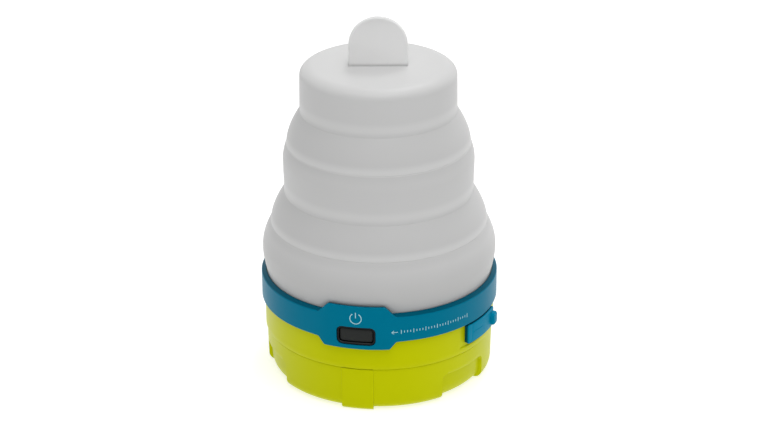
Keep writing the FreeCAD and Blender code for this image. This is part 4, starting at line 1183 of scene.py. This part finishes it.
class LANTERN_OT_stage(bpy.types.Operator):
    """Pale floor, even studio light and the camera at the photo's angle"""
    bl_idname = "lantern.stage"
    bl_label = "Stage"

    def execute(self, context):
        scene = context.scene
        stage = scene.lantern_stage
        scene.view_settings.view_transform = "Standard"
        self.light_world(scene, stage)
        self.lay_floor()
        self.hang_lamp("softbox", SOFTBOX_SIZE, stage.softbox, SOFTBOX_PLACE)
        self.hang_lamp("rear_lamp", REAR_LAMP_SIZE, stage.rear_lamp, REAR_LAMP_PLACE)
        self.set_camera(scene, stage)
        return {"FINISHED"}

    def light_world(self, scene, stage):
        """Even light, brighter behind the lantern, in front of a white backdrop."""
        world = bpy.data.worlds.new("studio")
        scene.world = world
        world.use_nodes = True
        tree = world.node_tree
        split = tree.nodes.new("ShaderNodeSeparateXYZ")
        feed(tree, split.inputs[0], tree.nodes.new("ShaderNodeTexCoord").outputs["Generated"])
        behind = calc(tree, "MULTIPLY_ADD", split.outputs["Y"], stage.ambient * stage.backdrop, stage.ambient)
        even = tree.nodes["Background"]
        feed(tree, even.inputs["Color"], WHITE)
        feed(tree, even.inputs["Strength"], behind)
        white = tree.nodes.new("ShaderNodeBackground")
        feed(tree, white.inputs["Color"], WHITE)
        mix = tree.nodes.new("ShaderNodeMixShader")
        feed(tree, mix.inputs["Fac"], seen_white(tree, 1.0))
        feed(tree, mix.inputs[1], even.outputs[0])
        feed(tree, mix.inputs[2], white.outputs[0])
        feed(tree, tree.nodes["World Output"].inputs["Surface"], mix.outputs[0])

    def lay_floor(self):
        """Plain pale floor with a little light of its own, which keeps the lantern's shadow."""
        half = FLOOR_HALF
        verts = [(-half, -half, 0), (half, -half, 0), (half, half, 0), (-half, half, 0)]
        floor = add_object("floor", verts, [(0, 1, 2, 3)])
        material = bpy.data.materials.new("pale_floor")
        material.use_nodes = True
        tree = material.node_tree
        shader = tree.nodes["Principled BSDF"]
        feed(tree, shader.inputs["Base Color"], FLOOR_GREY)
        feed(tree, shader.inputs["Roughness"], FLOOR_ROUGHNESS)
        feed(tree, shader.inputs["Specular IOR Level"], 0.0)
        glow = tree.nodes.new("ShaderNodeEmission")
        feed(tree, glow.inputs["Color"], WHITE)
        feed(tree, glow.inputs["Strength"], calc(tree, "ADD", seen_white(tree, FLOOR_WHITE), FLOOR_GLOW))
        both = tree.nodes.new("ShaderNodeAddShader")
        feed(tree, both.inputs[0], shader.outputs[0])
        feed(tree, both.inputs[1], glow.outputs[0])
        feed(tree, tree.nodes["Material Output"].inputs["Surface"], both.outputs[0])
        floor.data.materials.append(material)

    def hang_lamp(self, name, size, power, place):
        """Round soft lamp aimed at the middle of the lantern."""
        light = bpy.data.lights.new(name, "AREA")
        light.shape = "DISK"
        light.size = size
        light.energy = power
        lamp = bpy.data.objects.new(name, light)
        lamp.location = place
        lamp.rotation_euler = (LAMP_AIM - lamp.location).to_track_quat("-Z", "Y").to_euler()
        bpy.context.scene.collection.objects.link(lamp)

    def set_camera(self, scene, stage):
        """Camera whose picture has the lantern where the photo has it."""
        lens = bpy.data.cameras.new("photo_camera")
        lens.sensor_fit = "HORIZONTAL"
        lens.sensor_width = SENSOR_WIDTH
        lens.lens = stage.focal_pixels / PHOTO_WIDTH * SENSOR_WIDTH
        lens.shift_x = (PHOTO_WIDTH / 2 - stage.axis_pixel) / PHOTO_WIDTH
        lens.clip_end = FAR_CLIP
        camera = bpy.data.objects.new("photo_camera", lens)
        camera.location = polar(stage.distance, math.degrees(stage.azimuth), stage.height)
        upright = Euler((math.pi / 2 - stage.pitch, 0.0, stage.azimuth)).to_matrix()
        lean = Matrix.Rotation(stage.roll, 3, "Z")
        camera.rotation_euler = (upright @ lean).to_euler()
        scene.collection.objects.link(camera)
        scene.camera = camera


class LANTERN_PT_panel(bpy.types.Panel):
    """Sidebar list of the lantern's pieces"""
    bl_label = "Lantern"
    bl_idname = "LANTERN_PT_panel"
    bl_space_type = "VIEW_3D"
    bl_region_type = "UI"
    bl_category = "Lantern"

    def draw(self, context):
        for operator in OPERATORS:
            self.layout.operator(operator.bl_idname)
        for name in GROUPS:
            holder = getattr(context.scene, name)
            for key in holder.__annotations__:
                self.layout.prop(holder, key)


GROUPS = {"lantern_shape": LanternShape, "lantern_finish": LanternFinish, "lantern_stage": LanternStage}
OPERATORS = (
    LANTERN_OT_inner_pieces, LANTERN_OT_bottom_cover, LANTERN_OT_housing, LANTERN_OT_trim_ring,
    LANTERN_OT_button, LANTERN_OT_signs, LANTERN_OT_flap, LANTERN_OT_globe, LANTERN_OT_stage,
)
CLASSES = (*GROUPS.values(), *OPERATORS, LANTERN_PT_panel)


def register():
    for item in CLASSES:
        bpy.utils.register_class(item)
    for name, group in GROUPS.items():
        setattr(bpy.types.Scene, name, PointerProperty(type=group))


def unregister():
    for name in GROUPS:
        delattr(bpy.types.Scene, name)
    for item in reversed(CLASSES):
        bpy.utils.unregister_class(item)


def main():
    register()
    for operator in OPERATORS:
        group, name = operator.bl_idname.split(".")
        getattr(getattr(bpy.ops, group), name)()


if __name__ == "__main__":
    main()
